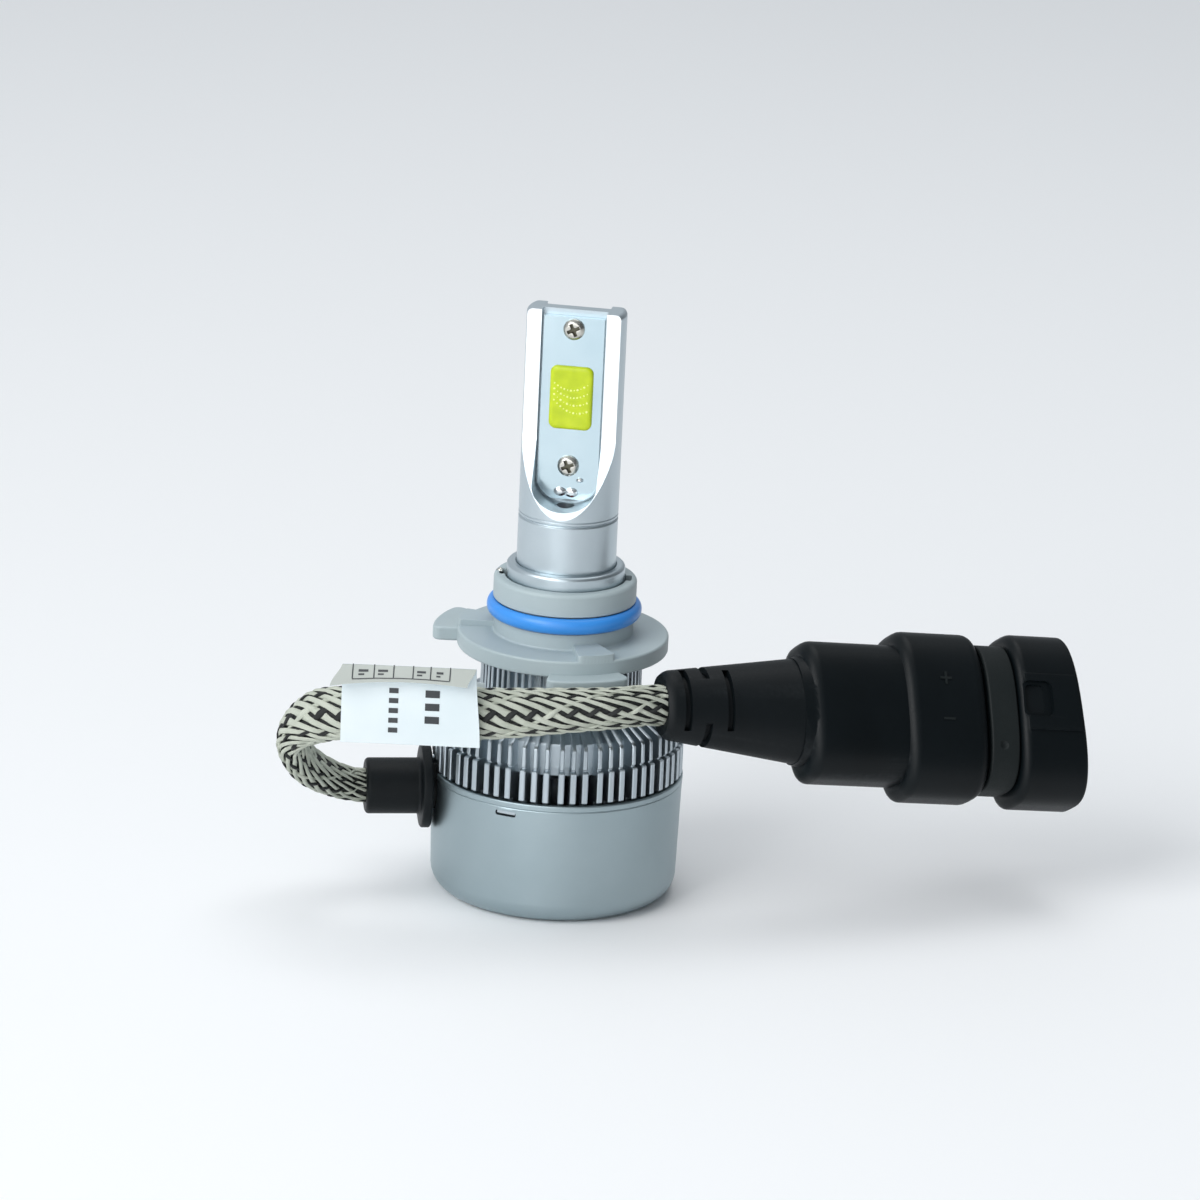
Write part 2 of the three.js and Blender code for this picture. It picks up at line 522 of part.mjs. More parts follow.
// The driver's case: a narrow rear half and a wide front half, hollow for the driver board.
function driverCase() {
  const { start, step, end, rear, front, wall, edge } = CASE;
  const outer = join([flatOval(rear, start, step + 2, edge), flatOval(front, step, end, edge)]);
  const inside = rear.map((size) => size - wall);
  const ways = [rod(WIREWAY_R, start - 1, start + 3, 16), flatOval([6.2, 1.4], end - 3, end + 1)];
  return cut(outer, [flatOval(inside, start + wall, end - wall), ...ways]);
}

function plugShell() {
  const { start, rim, end, neck, shell, wall, floor } = SOCKET;
  const { x, z, width, length } = LATCH_WINDOW;
  const outer = join([flatOval(neck, start + GAP, rim + 1), flatOval(shell, rim, end, 0.5)]);
  const inside = shell.map((size) => size - wall);
  const window = box(x, shell[1], z, width, 3, length);
  const slots = [-1, 1].map((side) =>
    box(side * TERMINAL.spread, 0, rim, TERMINAL.width + TERMINAL.play, TERMINAL.thick + TERMINAL.play, 12));
  return cut(outer, [flatOval(inside, floor, end + 1), window, ...slots]);
}

// The rubber seal in the waist between the case and the socket's rim.
function plugSeal() {
  const { neck, start, rim } = SOCKET;
  const outer = flatOval(neck.map((size) => size + SEAL.wall), start + GAP, rim - GAP, SEAL.corner);
  return cut(outer, [flatOval(neck.map((size) => size + GAP), start - 1, rim + 1)]);
}

function terminal(side) {
  const { spread, width, thick, from, to } = TERMINAL;
  return box(side * spread, 0, (from + to) / 2, width, thick, to - from);
}

const driverBoard = () =>
  box(0, DRIVER_BOARD.y, DRIVER_BOARD.z, DRIVER_BOARD.width, DRIVER_BOARD.thick, DRIVER_BOARD.length);

const driverInductor = () =>
  toSolid(toGeometry(rod(2.4, -0.7, 2.9, 20)).rotateX(-Math.PI / 2)).translate([3.4, 0, 30]);

// ---------------------------------------------------------------- everything in place
add("fan_shell", fanShell(), "castAluminium");
add("fan_frame", fanFrame(), "blackPlastic");
add("fan_rotor", fanRotor(), "blackPlastic");
add("rotor_magnet", turned([[4.8, 3.9], [5.5, 3.9], [5.5, 8.8], [4.8, 8.8]], 32), "ferrite");
add("fan_shaft", rod(SHAFT.radius, SHAFT.foot, ROTOR.top - 0.2, 24), "steel");
add("fan_bearing", bearing(), "brass");
add("fan_stator", fanStator(), "copper");
add("fan_circuit_board", turned([[2.6, 2.7], [5.3, 2.7], [5.3, 3.2], [2.6, 3.2]], 32), "greenBoard");
add("heat_sink", heatSink(), "castAluminium");
add("lamp_head", lampHead(), "turnedAluminium");

const board = ledBoard();
const emitter = ledEmitter();
const screws = Object.entries(SCREW_Z).map(([place, z]) => [place, boardScrew(z)]);
const wires = [["positive", ledWire(1), "redWire"], ["negative", ledWire(-1), "blackWire"]];
for (const [side, place] of [["front", (solid) => solid], ["rear", mirrored]]) {
  add(`led_board_${side}`, place(board), "boardMirror");
  add(`led_emitter_${side}`, place(emitter), "phosphor");
  for (const [name, screw] of screws) add(`board_screw_${side}_${name}`, place(screw), "steel");
  for (const [name, wire, look] of wires) add(`led_wire_${side}_${name}`, place(wire), look);
}

add("adapter_collar", collar(), "greyNylon");
add("detent_ball", detentBall(), "steel");
add("o_ring", oRing(), "blueSilicone");

add("cable_grommet", grommet(), "blackRubber");
add("supply_wire_positive", supplyWire(1), "redWire");
add("supply_wire_negative", supplyWire(-1), "blackWire");
add("lead_sleeve", leadSleeve(), "braid");
add("lead_label", leadLabel(), "paper");

// The plug points away from the bulb, falls towards the surface and is rolled about its own axis.
const plug = new THREE.Group();
const [azimuth, fall, roll] = [PLUG.azimuth, PLUG.fall, PLUG.roll].map(radians);
const level = new THREE.Vector3(Math.cos(azimuth), Math.sin(azimuth), 0);
const up = new THREE.Vector3(0, 0, 1);
const axis = level.clone().multiplyScalar(Math.cos(fall)).addScaledVector(up, -Math.sin(fall));
const upright = level.clone().multiplyScalar(Math.sin(fall)).addScaledVector(up, Math.cos(fall));
const height = upright.applyAxisAngle(axis, -roll);
const thickness = new THREE.Vector3().crossVectors(axis, height);
plug.quaternion.setFromRotationMatrix(new THREE.Matrix4().makeBasis(height, thickness, axis));
plug.position.set(...PLUG.at);
bulb.add(plug);

add("strain_relief_boot", boot(), "blackRubber", plug);
add("driver_case", driverCase(), "blackPlastic", plug);
add("plug_shell", plugShell(), "blackPlastic", plug);
add("plug_seal", plugSeal(), "blackRubber", plug);
add("plug_terminal_positive", terminal(1), "brass", plug);
add("plug_terminal_negative", terminal(-1), "brass", plug);
add("driver_circuit_board", driverBoard(), "greenBoard", plug);
add("driver_inductor", driverInductor(), "ferrite", plug);
add("driver_capacitor", rod(2, 33, 42, 20, -3.6, 1.3), "blackWire", plug);
add("driver_chip", box(3.2, -0.05, 39, 4, 1.3, 5), "blackPlastic", plug);

export default bulb;
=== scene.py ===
"""The looks of the LED headlight bulb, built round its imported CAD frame.

Shapes are worked out in millimetres, in the frame's own axes: +Z up the bulb, -Y the way the front LED board
faces. Angles "round the bulb" run from -Y towards +X. Each piece is turned into metres when it is finished.
"""
import math

import bmesh
import bpy
from mathutils import Matrix, Vector


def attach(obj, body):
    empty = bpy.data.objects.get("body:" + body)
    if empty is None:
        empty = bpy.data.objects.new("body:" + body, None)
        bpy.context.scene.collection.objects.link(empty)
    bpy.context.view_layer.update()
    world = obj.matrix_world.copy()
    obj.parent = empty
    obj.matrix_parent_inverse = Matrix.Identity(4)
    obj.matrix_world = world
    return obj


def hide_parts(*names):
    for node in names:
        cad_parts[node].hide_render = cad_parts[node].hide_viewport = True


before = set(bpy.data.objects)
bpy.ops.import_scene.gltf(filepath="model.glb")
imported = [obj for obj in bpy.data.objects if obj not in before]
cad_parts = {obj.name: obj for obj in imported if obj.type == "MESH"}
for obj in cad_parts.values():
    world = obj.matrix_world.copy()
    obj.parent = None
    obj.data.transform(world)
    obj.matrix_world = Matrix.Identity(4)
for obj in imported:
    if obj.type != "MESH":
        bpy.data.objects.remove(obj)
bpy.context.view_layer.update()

MM = 0.001
scene = bpy.context.scene

# -------- sizes, in millimetres and degrees
SHELL_R, SHELL_FOOT_R, SHELL_TOP, SHELL_WALL, SHELL_FLOOR, SHELL_FILLET = 18.0, 17.5, 18.0, 0.8, 1.2, 3.2
GROMMET_ANGLE, GROMMET_Z = -73.0, 15.0
GROMMET_MOUTH = 27.5  # 0.6 longer than the CAD grommet, to lap over the start of the braid
SNAP_ANGLE, SNAP_Z = -13.6, 16.15
FIN_TURN = -0.9
BOARD_FACE = 2.0
SCREW_HEIGHTS = (83.0, 63.2)
EMITTER_Z = 73.1
PLUG_AT, PLUG_AZIMUTH, PLUG_FALL, PLUG_ROLL = (16.6, -13.9, 33.2), 32, 7.4, 33
LUGS = ((22.5, 20, 34.3, 36.5, 18.0), (-97.5, 17, 36.0, 38.05, 18.6), (158, 17, 34.3, 36.5, 18.0))

# The lead's middle line, as in the CAD part, in millimetres.
ROUTE = [
    (-26.1, -8.0, 15.0), (-28.2, -8.8, 15.3), (-30.2, -10.6, 16.4), (-32.1, -13.2, 18.2),
    (-33.7, -16.1, 20.6), (-34.5, -18.6, 23.3), (-34.4, -20.9, 26.0), (-32.7, -22.8, 28.4),
    (-29.9, -24.1, 30.2), (-26.9, -24.9, 31.2), (-23.4, -25.1, 31.6), (-18.5, -24.6, 31.9),
    (-11.6, -23.5, 32.2), (-4.8, -22.3, 32.5), (0.6, -21.1, 32.9), (6.0, -19.8, 33.3),
    (10.7, -18.2, 33.5), (13.9, -16.1, 33.5), (17.2, -13.5, 33.1),
]


# -------- materials
LOOKS = {}


def new_material(name, color, metallic=0.0, roughness=0.5, **sockets):
    """A Principled material, kept in LOOKS, with constant values set on the shader itself."""
    material = LOOKS[name] = bpy.data.materials.new(name)
    material.use_nodes = True
    shader = material.node_tree.nodes["Principled BSDF"]
    shader.inputs["Base Color"].default_value = (*color, 1)
    shader.inputs["Metallic"].default_value = metallic
    shader.inputs["Roughness"].default_value = roughness
    for socket, value in sockets.items():
        shader.inputs[socket.replace("_", " ")].default_value = value
    return material


def node(material, kind, **settings):
    made = material.node_tree.nodes.new(kind)
    for key, value in settings.items():
        if key in made.inputs:
            made.inputs[key].default_value = value
        else:
            setattr(made, key, value)
    return made


def link(material, source, target):
    material.node_tree.links.new(source, target)


def place(material, stretch=(1, 1, 1)):
    """Object coordinates, stretched along each axis."""
    where = node(material, "ShaderNodeTexCoord")
    mapping = node(material, "ShaderNodeMapping")
    mapping.inputs["Scale"].default_value = stretch
    link(material, where.outputs["Object"], mapping.inputs["Vector"])
    return mapping.outputs["Vector"]


def noise(material, scale, detail=3.0, stretch=(1, 1, 1)):
    made = node(material, "ShaderNodeTexNoise")
    made.inputs["Scale"].default_value = scale
    made.inputs["Detail"].default_value = detail
    link(material, place(material, stretch), made.inputs["Vector"])
    return made.outputs["Fac"]


def ranged(material, value, low, high, start=0.3, stop=0.7):
    made = node(material, "ShaderNodeMapRange")
    for socket, number in (("From Min", start), ("From Max", stop), ("To Min", low), ("To Max", high)):
        made.inputs[socket].default_value = number
    link(material, value, made.inputs["Value"])
    return made.outputs["Result"]


def mix_color(material, factor, first, second):
    made = node(material, "ShaderNodeMix", data_type="RGBA")
    link(material, factor, made.inputs[0])
    for index, colour in ((6, first), (7, second)):
        if isinstance(colour, tuple):
            made.inputs[index].default_value = (*colour, 1)
        else:
            link(material, colour, made.inputs[index])
    return made.outputs[2]


def bump(material, layers):
    """Bump from (value, strength, distance in metres) layers, one on another."""
    normal = None
    for value, strength, distance in layers:
        made = node(material, "ShaderNodeBump")
        made.inputs["Strength"].default_value = strength
        made.inputs["Distance"].default_value = distance
        link(material, value, made.inputs["Height"])
        if normal:
            link(material, normal, made.inputs["Normal"])
        normal = made.outputs["Normal"]
    link(material, normal, shader_input(material, "Normal"))


def shader_input(material, name):
    return material.node_tree.nodes["Principled BSDF"].inputs[name]


def tint(material, colour):
    link(material, colour, shader_input(material, "Base Color"))


def roughen(material, value):
    link(material, value, shader_input(material, "Roughness"))


def edge_wear(material, soft, hard):
    """0 on flat stretches and 1 on outward edges."""
    geometry = node(material, "ShaderNodeNewGeometry")
    return ranged(material, geometry.outputs["Pointiness"], 0, 1, soft, hard)


def metal(name, color, dark, roughness, grain, turned=0.0, metallic=1.0):
    """Satin metal: blasted grain, slow patches of tone, and fine rings where it was turned."""
    material = new_material(name, color, metallic, roughness)
    patches = noise(material, 90, 4)
    tint(material, mix_color(material, ranged(material, patches, 0, 1), dark, color))
    fine = noise(material, grain, 2)
    rough = node(material, "ShaderNodeMath", operation="ADD")
    link(material, ranged(material, fine, roughness - 0.06, roughness + 0.06), rough.inputs[0])
    link(material, ranged(material, patches, -0.03, 0.04), rough.inputs[1])
    roughen(material, rough.outputs[0])
    layers = [(fine, 0.35, 0.00002)]
    if turned:
        layers.append((noise(material, 900, 3, (0.01, 0.01, 9)), turned, 0.00002))
    bump(material, layers)
    return material


def plastic(name, color, light, roughness, grain=9000, strength=0.3, wear=0.0, **sockets):
    """Moulded plastic or rubber: spark-eroded grain, faint flow marks, and paler worn edges."""
    material = new_material(name, color, 0, roughness, **sockets)
    flow = noise(material, 120, 5, (1, 1, 0.4))
    base = mix_color(material, ranged(material, flow, 0, 1, 0.25, 0.75), color, light)
    if wear:
        worn = tuple(min(1, c * 2.2 + 0.035) for c in light)
        scuffs = node(material, "ShaderNodeMath", operation="MULTIPLY")
        link(material, edge_wear(material, 0.54, 0.64), scuffs.inputs[0])
        link(material, ranged(material, noise(material, 1500, 4), 0, wear), scuffs.inputs[1])
        base = mix_color(material, scuffs.outputs[0], base, worn)
    tint(material, base)
    fine = noise(material, grain, 3)
    roughen(material, ranged(material, fine, roughness - 0.07, roughness + 0.07))
    bump(material, [(fine, strength, 0.00003), (flow, 0.1, 0.0001)])
    return material


def fibre(name, color, light):
    """A flat bundle of filaments: fine lines along each strand, from its own UV."""
    material = new_material(name, color, 0, 0.6)
    where = node(material, "ShaderNodeUVMap")
    stripes = node(material, "ShaderNodeTexWave", wave_type="BANDS", bands_direction="X")
    for socket, value in (("Scale", 2.2), ("Distortion", 1.2), ("Detail", 2), ("Detail Scale", 3)):
        stripes.inputs[socket].default_value = value
    link(material, where.outputs["UV"], stripes.inputs["Vector"])
    tone = mix_color(material, ranged(material, noise(material, 500, 3), 0, 1), color, light)
    # The grooves between filaments are painted darker, as painted shade.
    darker = tuple(c * 0.72 for c in color)
    groove_shade = ranged(material, stripes.outputs["Fac"], 0, 0.55, 0.8, 0.1)
    tint(material, mix_color(material, groove_shade, tone, darker))
    bump(material, [(stripes.outputs["Fac"], 0.6, 0.00006)])
    return material


def phosphor_material():
    material = new_material("phosphor", (0.5, 0.61, 0.005), 0, 0.32, Subsurface_Weight=0.1)
    shader_input(material, "Subsurface Radius").default_value = (0.0006, 0.0006, 0.0001)
    patches = ranged(material, noise(material, 700, 3), 0, 1)
    tint(material, mix_color(material, patches, (0.45, 0.57, 0.003), (0.54, 0.65, 0.006)))
    bump(material, [(noise(material, 2500, 2), 0.15, 0.00003)])
    return material


def paper_material(name, dark, light):
    material = new_material(name, light, 0, 0.62)
    grain = noise(material, 2500, 5)
    tint(material, mix_color(material, ranged(material, noise(material, 60, 3), 0, 1), dark, light))
    bump(material, [(grain, 0.25, 0.00003)])
    return material


metal("shell", (0.39, 0.47, 0.5), (0.35, 0.43, 0.46), 0.42, 14000)
metal("sink", (0.52, 0.58, 0.62), (0.44, 0.5, 0.54), 0.36, 9000)
metal("bar", (0.56, 0.63, 0.67), (0.5, 0.58, 0.62), 0.36, 16000, turned=0.1)
metal("board", (0.6, 0.72, 0.77), (0.51, 0.64, 0.7), 0.16, 1500)
metal("steel", (0.66, 0.65, 0.61), (0.5, 0.49, 0.44), 0.24, 7000)
metal("brass", (0.7, 0.5, 0.2), (0.6, 0.42, 0.16), 0.3, 7000)
metal("copper", (0.62, 0.26, 0.12), (0.5, 0.2, 0.08), 0.35, 5000)
metal("ferrite", (0.05, 0.05, 0.055), (0.03, 0.03, 0.035), 0.6, 6000, metallic=0.4)
metal("solder", (0.75, 0.77, 0.78), (0.6, 0.62, 0.64), 0.22, 3000)
plastic("nylon", (0.36, 0.435, 0.455), (0.4, 0.475, 0.495), 0.48, 7000, 0.2)
plastic("silicone", (0.03, 0.24, 0.72), (0.045, 0.29, 0.78), 0.34, 5000, 0.12)
plastic("black", (0.0014, 0.0032, 0.0042), (0.003, 0.0055, 0.007), 0.42, 6500, 0.35, wear=0.2,
        Specular_IOR_Level=0.18)
plastic("rubber", (0.0018, 0.0036, 0.0046), (0.0038, 0.0062, 0.0078), 0.5, 5000, 0.4, wear=0.16,
        Specular_IOR_Level=0.2)
plastic("seal", (0.005, 0.0085, 0.009), (0.009, 0.0125, 0.013), 0.6, 4500, 0.5, Specular_IOR_Level=0.25)
plastic("green", (0.01, 0.1, 0.035), (0.014, 0.13, 0.045), 0.3, 3000, 0.1)
plastic("red", (0.4, 0.012, 0.01), (0.46, 0.018, 0.014), 0.35, 3000, 0.1)
plastic("wire", (0.008, 0.008, 0.009), (0.015, 0.015, 0.016), 0.35, 3000, 0.1)
plastic("ink", (0.03, 0.035, 0.04), (0.06, 0.065, 0.07), 0.6, 4000, 0.1)
fibre("cream", (0.5, 0.535, 0.45), (0.62, 0.65, 0.56))
fibre("tracer", (0.004, 0.006, 0.006), (0.012, 0.014, 0.014))
phosphor_material()
new_material("dots", (0.85, 0.95, 0.3), 0, 0.25)
paper_material("paper", (0.66, 0.75, 0.78), (0.76, 0.83, 0.85))
# The second paper is the same paper painted darker grey, as painted shade on the flap's upward faces.
paper_material("paper_painted_shade", (0.4, 0.43, 0.4), (0.46, 0.49, 0.46))
# A dark copy of the screw steel, painted as shade inside the cross recesses.
metal("painted_recess_shade", (0.16, 0.155, 0.12), (0.1, 0.095, 0.07), 0.45, 7000)
# Near-white metal, painted as the reflection that the bar's upper flat facets show.
metal("facet_painted_reflection", (0.95, 0.97, 0.98), (0.89, 0.92, 0.93), 0.34, 9000)
bump(LOOKS["dots"], [(noise(LOOKS["dots"], 3000, 2), 0.2, 0.00002)])


# -------- mesh tools, in millimetres
def raw(verts, faces):
    """A loose solid, to cut, join or finish. Its faces are turned to point out."""
    mesh = bpy.data.meshes.new("raw")
    mesh.from_pydata([tuple(v) for v in verts], [], faces)
    bm = bmesh.new()
    bm.from_mesh(mesh)
    bmesh.ops.remove_doubles(bm, verts=bm.verts, dist=1e-4)
    bmesh.ops.recalc_face_normals(bm, faces=bm.faces)
    bm.to_mesh(mesh)
    bm.free()
    solid = bpy.data.objects.new("raw", mesh)
    scene.collection.objects.link(solid)
    return solid


def bake(solid):
    """Applies the solid's modifiers."""
    graph = bpy.context.evaluated_depsgraph_get()
    mesh = bpy.data.meshes.new_from_object(solid.evaluated_get(graph))
    old = solid.data
    solid.modifiers.clear()
    solid.data = mesh
    bpy.data.meshes.remove(old)
    return solid


def discard(solid):
    mesh = solid.data
    bpy.data.objects.remove(solid)
    bpy.data.meshes.remove(mesh)


def boolean(solid, others, operation):
    for other in others:
        modifier = solid.modifiers.new("boolean", "BOOLEAN")
        modifier.operation = operation
        modifier.solver = "MANIFOLD"
        modifier.object = other
    bake(solid)
    for other in others:
        discard(other)
    return solid


def cut(solid, *others):
    return boolean(solid, others, "DIFFERENCE")


def join(solid, *others):
    return boolean(solid, others, "UNION")


def soften(solid, width, angle=40, segments=2):
    """Rounds every edge sharper than the angle, in degrees."""
    bm = bmesh.new()
    bm.from_mesh(solid.data)
    bmesh.ops.remove_doubles(bm, verts=bm.verts, dist=0.002)
    bmesh.ops.dissolve_limit(bm, angle_limit=math.radians(0.5), verts=bm.verts, edges=bm.edges)
    bm.to_mesh(solid.data)
    bm.free()
    modifier = solid.modifiers.new("bevel", "BEVEL")
    modifier.width = width
    modifier.segments = segments
    modifier.limit_method = "ANGLE"
    modifier.angle_limit = math.radians(angle)
    modifier.use_clamp_overlap = True
    return bake(solid)


def moved(solid, matrix):
    solid.data.transform(matrix)
    return solid


def shifted(solid, x, y, z):
    return moved(solid, Matrix.Translation((x, y, z)))


def spun(solid, degrees):
    return moved(solid, Matrix.Rotation(math.radians(degrees), 4, "Z"))


def arc(cx, cy, radius, start, stop, steps):
    angles = (math.radians(start + (stop - start) * i / steps) for i in range(steps + 1))
    return [(cx + radius * math.cos(a), cy + radius * math.sin(a)) for a in angles]


def filleted(points, steps=4):
    """Rounds the corners of a closed outline of (x, y) or (x, y, radius) points."""
    made = []
    for i, point in enumerate(points):
        here = Vector(point[:2])
        radius = point[2] if len(point) > 2 else 0
        before = Vector(points[i - 1][:2]) - here
        after = Vector(points[(i + 1) % len(points)][:2]) - here
        turn = before.angle(after, math.pi)
        if not radius or turn > math.radians(178):
            made.append(tuple(here))
            continue
        reach = min(radius / math.tan(turn / 2), before.length * 0.49, after.length * 0.49)
        radius = reach * math.tan(turn / 2)
        inwards = (before.normalized() + after.normalized()).normalized()
        middle = here + inwards * (radius / math.sin(turn / 2))
        first = here + before.normalized() * reach - middle
        swing = (here + after.normalized() * reach - middle).angle_signed(first)
        for step in range(steps + 1):
            made.append(tuple(middle + Matrix.Rotation(swing * step / steps, 2) @ first))
    return made


def turned(profile, segments=128, steps=4):
    """Turns a closed (radius, height[, rounding]) profile about the axis."""
    points = filleted(profile, steps)
    verts, rings = [], []
    for r, z in points:
        if r < 1e-6:
            rings.append([len(verts)] * segments)
            verts.append((0, 0, z))
            continue
        rings.append(list(range(len(verts), len(verts) + segments)))
        verts += [(r * math.cos(2 * math.pi * k / segments), r * math.sin(2 * math.pi * k / segments), z)
                  for k in range(segments)]
    faces = []
    for i, ring in enumerate(rings):
        other = rings[(i + 1) % len(rings)]
        for k in range(segments):
            m = (k + 1) % segments
            corners = list(dict.fromkeys([ring[k], ring[m], other[m], other[k]]))
            if len(corners) > 2:
                faces.append(corners)
    return raw(verts, faces)


def prism(outline, low, high):
    n = len(outline)
    verts = [(x, y, low) for x, y in outline] + [(x, y, high) for x, y in outline]
    faces = [list(range(n)), list(range(n, 2 * n))]
    faces += [[i, (i + 1) % n, n + (i + 1) % n, n + i] for i in range(n)]
    return raw(verts, faces)


def tube_faces(first, rings, n):
    """The side faces of a tube of rings with n points each, and its two ends."""
    last = first + (rings - 1) * n
    sides = [[low + k, low + (k + 1) % n, low + n + (k + 1) % n, low + n + k]
             for low in range(first, last, n) for k in range(n)]
    return sides, [list(range(first, first + n)), list(range(last, last + n))]


def loft(rings):
    """Joins rings of the same number of points, and caps both ends."""
    sides, ends = tube_faces(0, len(rings), len(rings[0]))
    return raw([v for ring in rings for v in ring], ends + sides)


def rounded_rectangle(a, b, corner, steps=8):
    outline = []
    for cx, cy, start in ((a, b, 0), (-a, b, 90), (-a, -b, 180), (a, -b, 270)):
        sx, sy = math.copysign(abs(cx) - corner, cx), math.copysign(abs(cy) - corner, cy)
        outline += arc(sx, sy, corner, start, start + 90, steps)
    return outline


def box(x, y, z, dx, dy, dz):
    return shifted(prism(rounded_rectangle(dx / 2, dy / 2, 0.001, 1), -dz / 2, dz / 2), x, y, z)


def rod(radius, low, high, x=0, y=0, segments=48):
    return shifted(turned([(0, low), (radius, low), (radius, high), (0, high)], segments), x, y, 0)


def sector(inner, outer, start, stop, low, high, corner=0.0):
    """A ring sector between two angles round the bulb, its outer corners rounded."""
    steps = max(6, round(abs(stop - start) / 2))
    outer_line = arc(0, 0, outer, start - 90, stop - 90, steps)
    inner_line = arc(0, 0, inner, stop - 90, start - 90, steps)
    if not corner:
        return prism(outer_line + inner_line, low, high)
    ends = [(*outer_line[0], corner), (*outer_line[-1], corner)]
    trim = max(1, math.ceil(corner / outer / math.radians(abs(stop - start) / steps)) + 1)
    return prism(filleted([ends[0], *outer_line[trim:-trim], ends[1], *inner_line], 5), low, high)


def outwards(angle, z):
    """Takes +Z to the way out of the bulb at an angle, and +Y to up."""
    x, y = math.sin(math.radians(angle)), -math.cos(math.radians(angle))
    return Matrix(((-y, 0, x, 0), (x, 0, y, 0), (0, 1, 0, z), (0, 0, 0, 1)))


FACING = Matrix(((1, 0, 0, 0), (0, 0, -1, 0), (0, 1, 0, 0), (0, 0, 0, 1)))  # takes +Z to -Y, the front
SIDE = Matrix(((1, 0, 0, 0), (0, 0, 1, 0), (0, -1, 0, 0), (0, 0, 0, 1)))  # takes +Z to +Y


def finish(solid, name, look, body="lamp", replaces=(), sharp=38, weighted=True):
    """Turns a solid in millimetres into a finished piece in metres, riding on its body."""
    solid.name = solid.data.name = name
    solid.data.transform(Matrix.Scale(MM, 4))
    solid.data.shade_smooth()
    solid.data.set_sharp_from_angle(angle=math.radians(sharp))
    solid.data.materials.clear()
    for key in look if isinstance(look, tuple) else (look,):
        solid.data.materials.append(LOOKS[key])
    if weighted:
        modifier = solid.modifiers.new("normals", "WEIGHTED_NORMAL")
        modifier.keep_sharp = True
        bake(solid)
    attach(solid, body)
    if replaces:
        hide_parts(*replaces)
    return solid


# -------- camera
VIEW_AZIMUTH, VIEW_ELEVATION, VIEW_ROLL = 9.0, 17.3, 2.65
VIEW_DISTANCE, VIEW_WIDTH = 900, 170.07  # the width seen at the bulb's axis
VIEW_AIM, VIEW_ASIDE = (0, 0, 42.8), 5.03


def add_camera():
    azimuth, elevation = math.radians(VIEW_AZIMUTH), math.radians(VIEW_ELEVATION)
    level = math.cos(elevation)
    back = Vector((math.sin(azimuth) * level, -math.cos(azimuth) * level, math.sin(elevation)))
    turn = back.to_track_quat("Z", "Y") @ Matrix.Rotation(math.radians(VIEW_ROLL), 3, "Z").to_quaternion()
    data = bpy.data.cameras.new("camera")
    data.sensor_width = 36
    data.lens = data.sensor_width * VIEW_DISTANCE / VIEW_WIDTH
    data.clip_start, data.clip_end = 0.01, 20
    camera = bpy.data.objects.new("camera", data)
    camera.rotation_euler = turn.to_euler()
    camera.location = (Vector(VIEW_AIM) + back * VIEW_DISTANCE + turn @ Vector((VIEW_ASIDE, 0, 0))) * MM
    scene.collection.objects.link(camera)
    scene.camera = camera


add_camera()


# -------- the braided lead
def spline(points, spacing=0.4):
    """Points at an even spacing on a centripetal Catmull-Rom curve through the given ones."""
    points = [Vector(p) for p in points]
    padded = [points[0] * 2 - points[1], *points, points[-1] * 2 - points[-2]]
    dense = []
    for i in range(1, len(padded) - 2):
        level = padded[i - 1:i + 3]
        t = [0]
        for a, b in zip(level, level[1:]):
            t.append(t[-1] + math.sqrt((b - a).length))
        for step in range(40):
            u = t[1] + (t[2] - t[1]) * step / 40
            first = [blend(level[j], level[j + 1], t[j], t[j + 1], u) for j in range(3)]
            second = [blend(first[j], first[j + 1], t[j], t[j + 2], u) for j in range(2)]
            dense.append(blend(second[0], second[1], t[1], t[2], u))
    dense.append(points[-1])
    return resampled(dense, spacing)


def blend(first, last, start, stop, at):
    return (first * (stop - at) + last * (at - start)) / (stop - start)


def resampled(dense, spacing):
    lengths = [0.0]
    for a, b in zip(dense, dense[1:]):
        lengths.append(lengths[-1] + (b - a).length)
    count = max(2, round(lengths[-1] / spacing))
    made, j = [], 0
    for i in range(count + 1):
        s = lengths[-1] * i / count
        while j < len(lengths) - 2 and lengths[j + 1] < s:
            j += 1
        made.append(dense[j].lerp(dense[j + 1], (s - lengths[j]) / max(lengths[j + 1] - lengths[j], 1e-9)))
    return made, lengths[-1]


def smoothstep(x, low, high):
    t = min(1, max(0, (x - low) / (high - low)))
    return t * t * (3 - 2 * t)


LINE, LEAD_LENGTH = spline(ROUTE)


def lead_frame(i):
    """Centre, width direction, thickness direction and distance along the lead, at one of its points."""
    here = LINE[i]
    along = (LINE[min(i + 1, len(LINE) - 1)] - LINE[max(i - 1, 0)]).normalized()
    s = LEAD_LENGTH * i / (len(LINE) - 1)
    edge = Vector((0.15, -1, -0.12)).lerp(Vector((0, -0.12, -1)), smoothstep(s, 17, 33))
    edge = (edge - along * edge.dot(along)).normalized()
    return here, edge, along.cross(edge), s


def lead_size(s):
    """Half width and half thickness of the flat sleeve at a distance along it."""
    half_width = 1.95 + 1.45 * smoothstep(s, 0, 15) - 0.95 * smoothstep(s, 44, LEAD_LENGTH - 3)
    half_thickness = 1.85 - 0.15 * smoothstep(s, 0, 15) + 0.1 * smoothstep(s, 50, LEAD_LENGTH)
    return half_width, half_thickness


def lead_point(i, angle, lift):
    """A point on the sleeve: a flattened oval round the lead's middle line."""
    here, edge, side, s = lead_frame(i)
    a, b = lead_size(s)
    c, k = math.cos(angle), math.sin(angle)
    power = 0.78
    x = math.copysign(abs(c) ** power, c) * (a + lift)
    y = math.copysign(abs(k) ** power, k) * (b + lift)
    return here + edge * x + side * y


STRANDS = 16
PITCH = 46.0
UNDULATION = 0.15


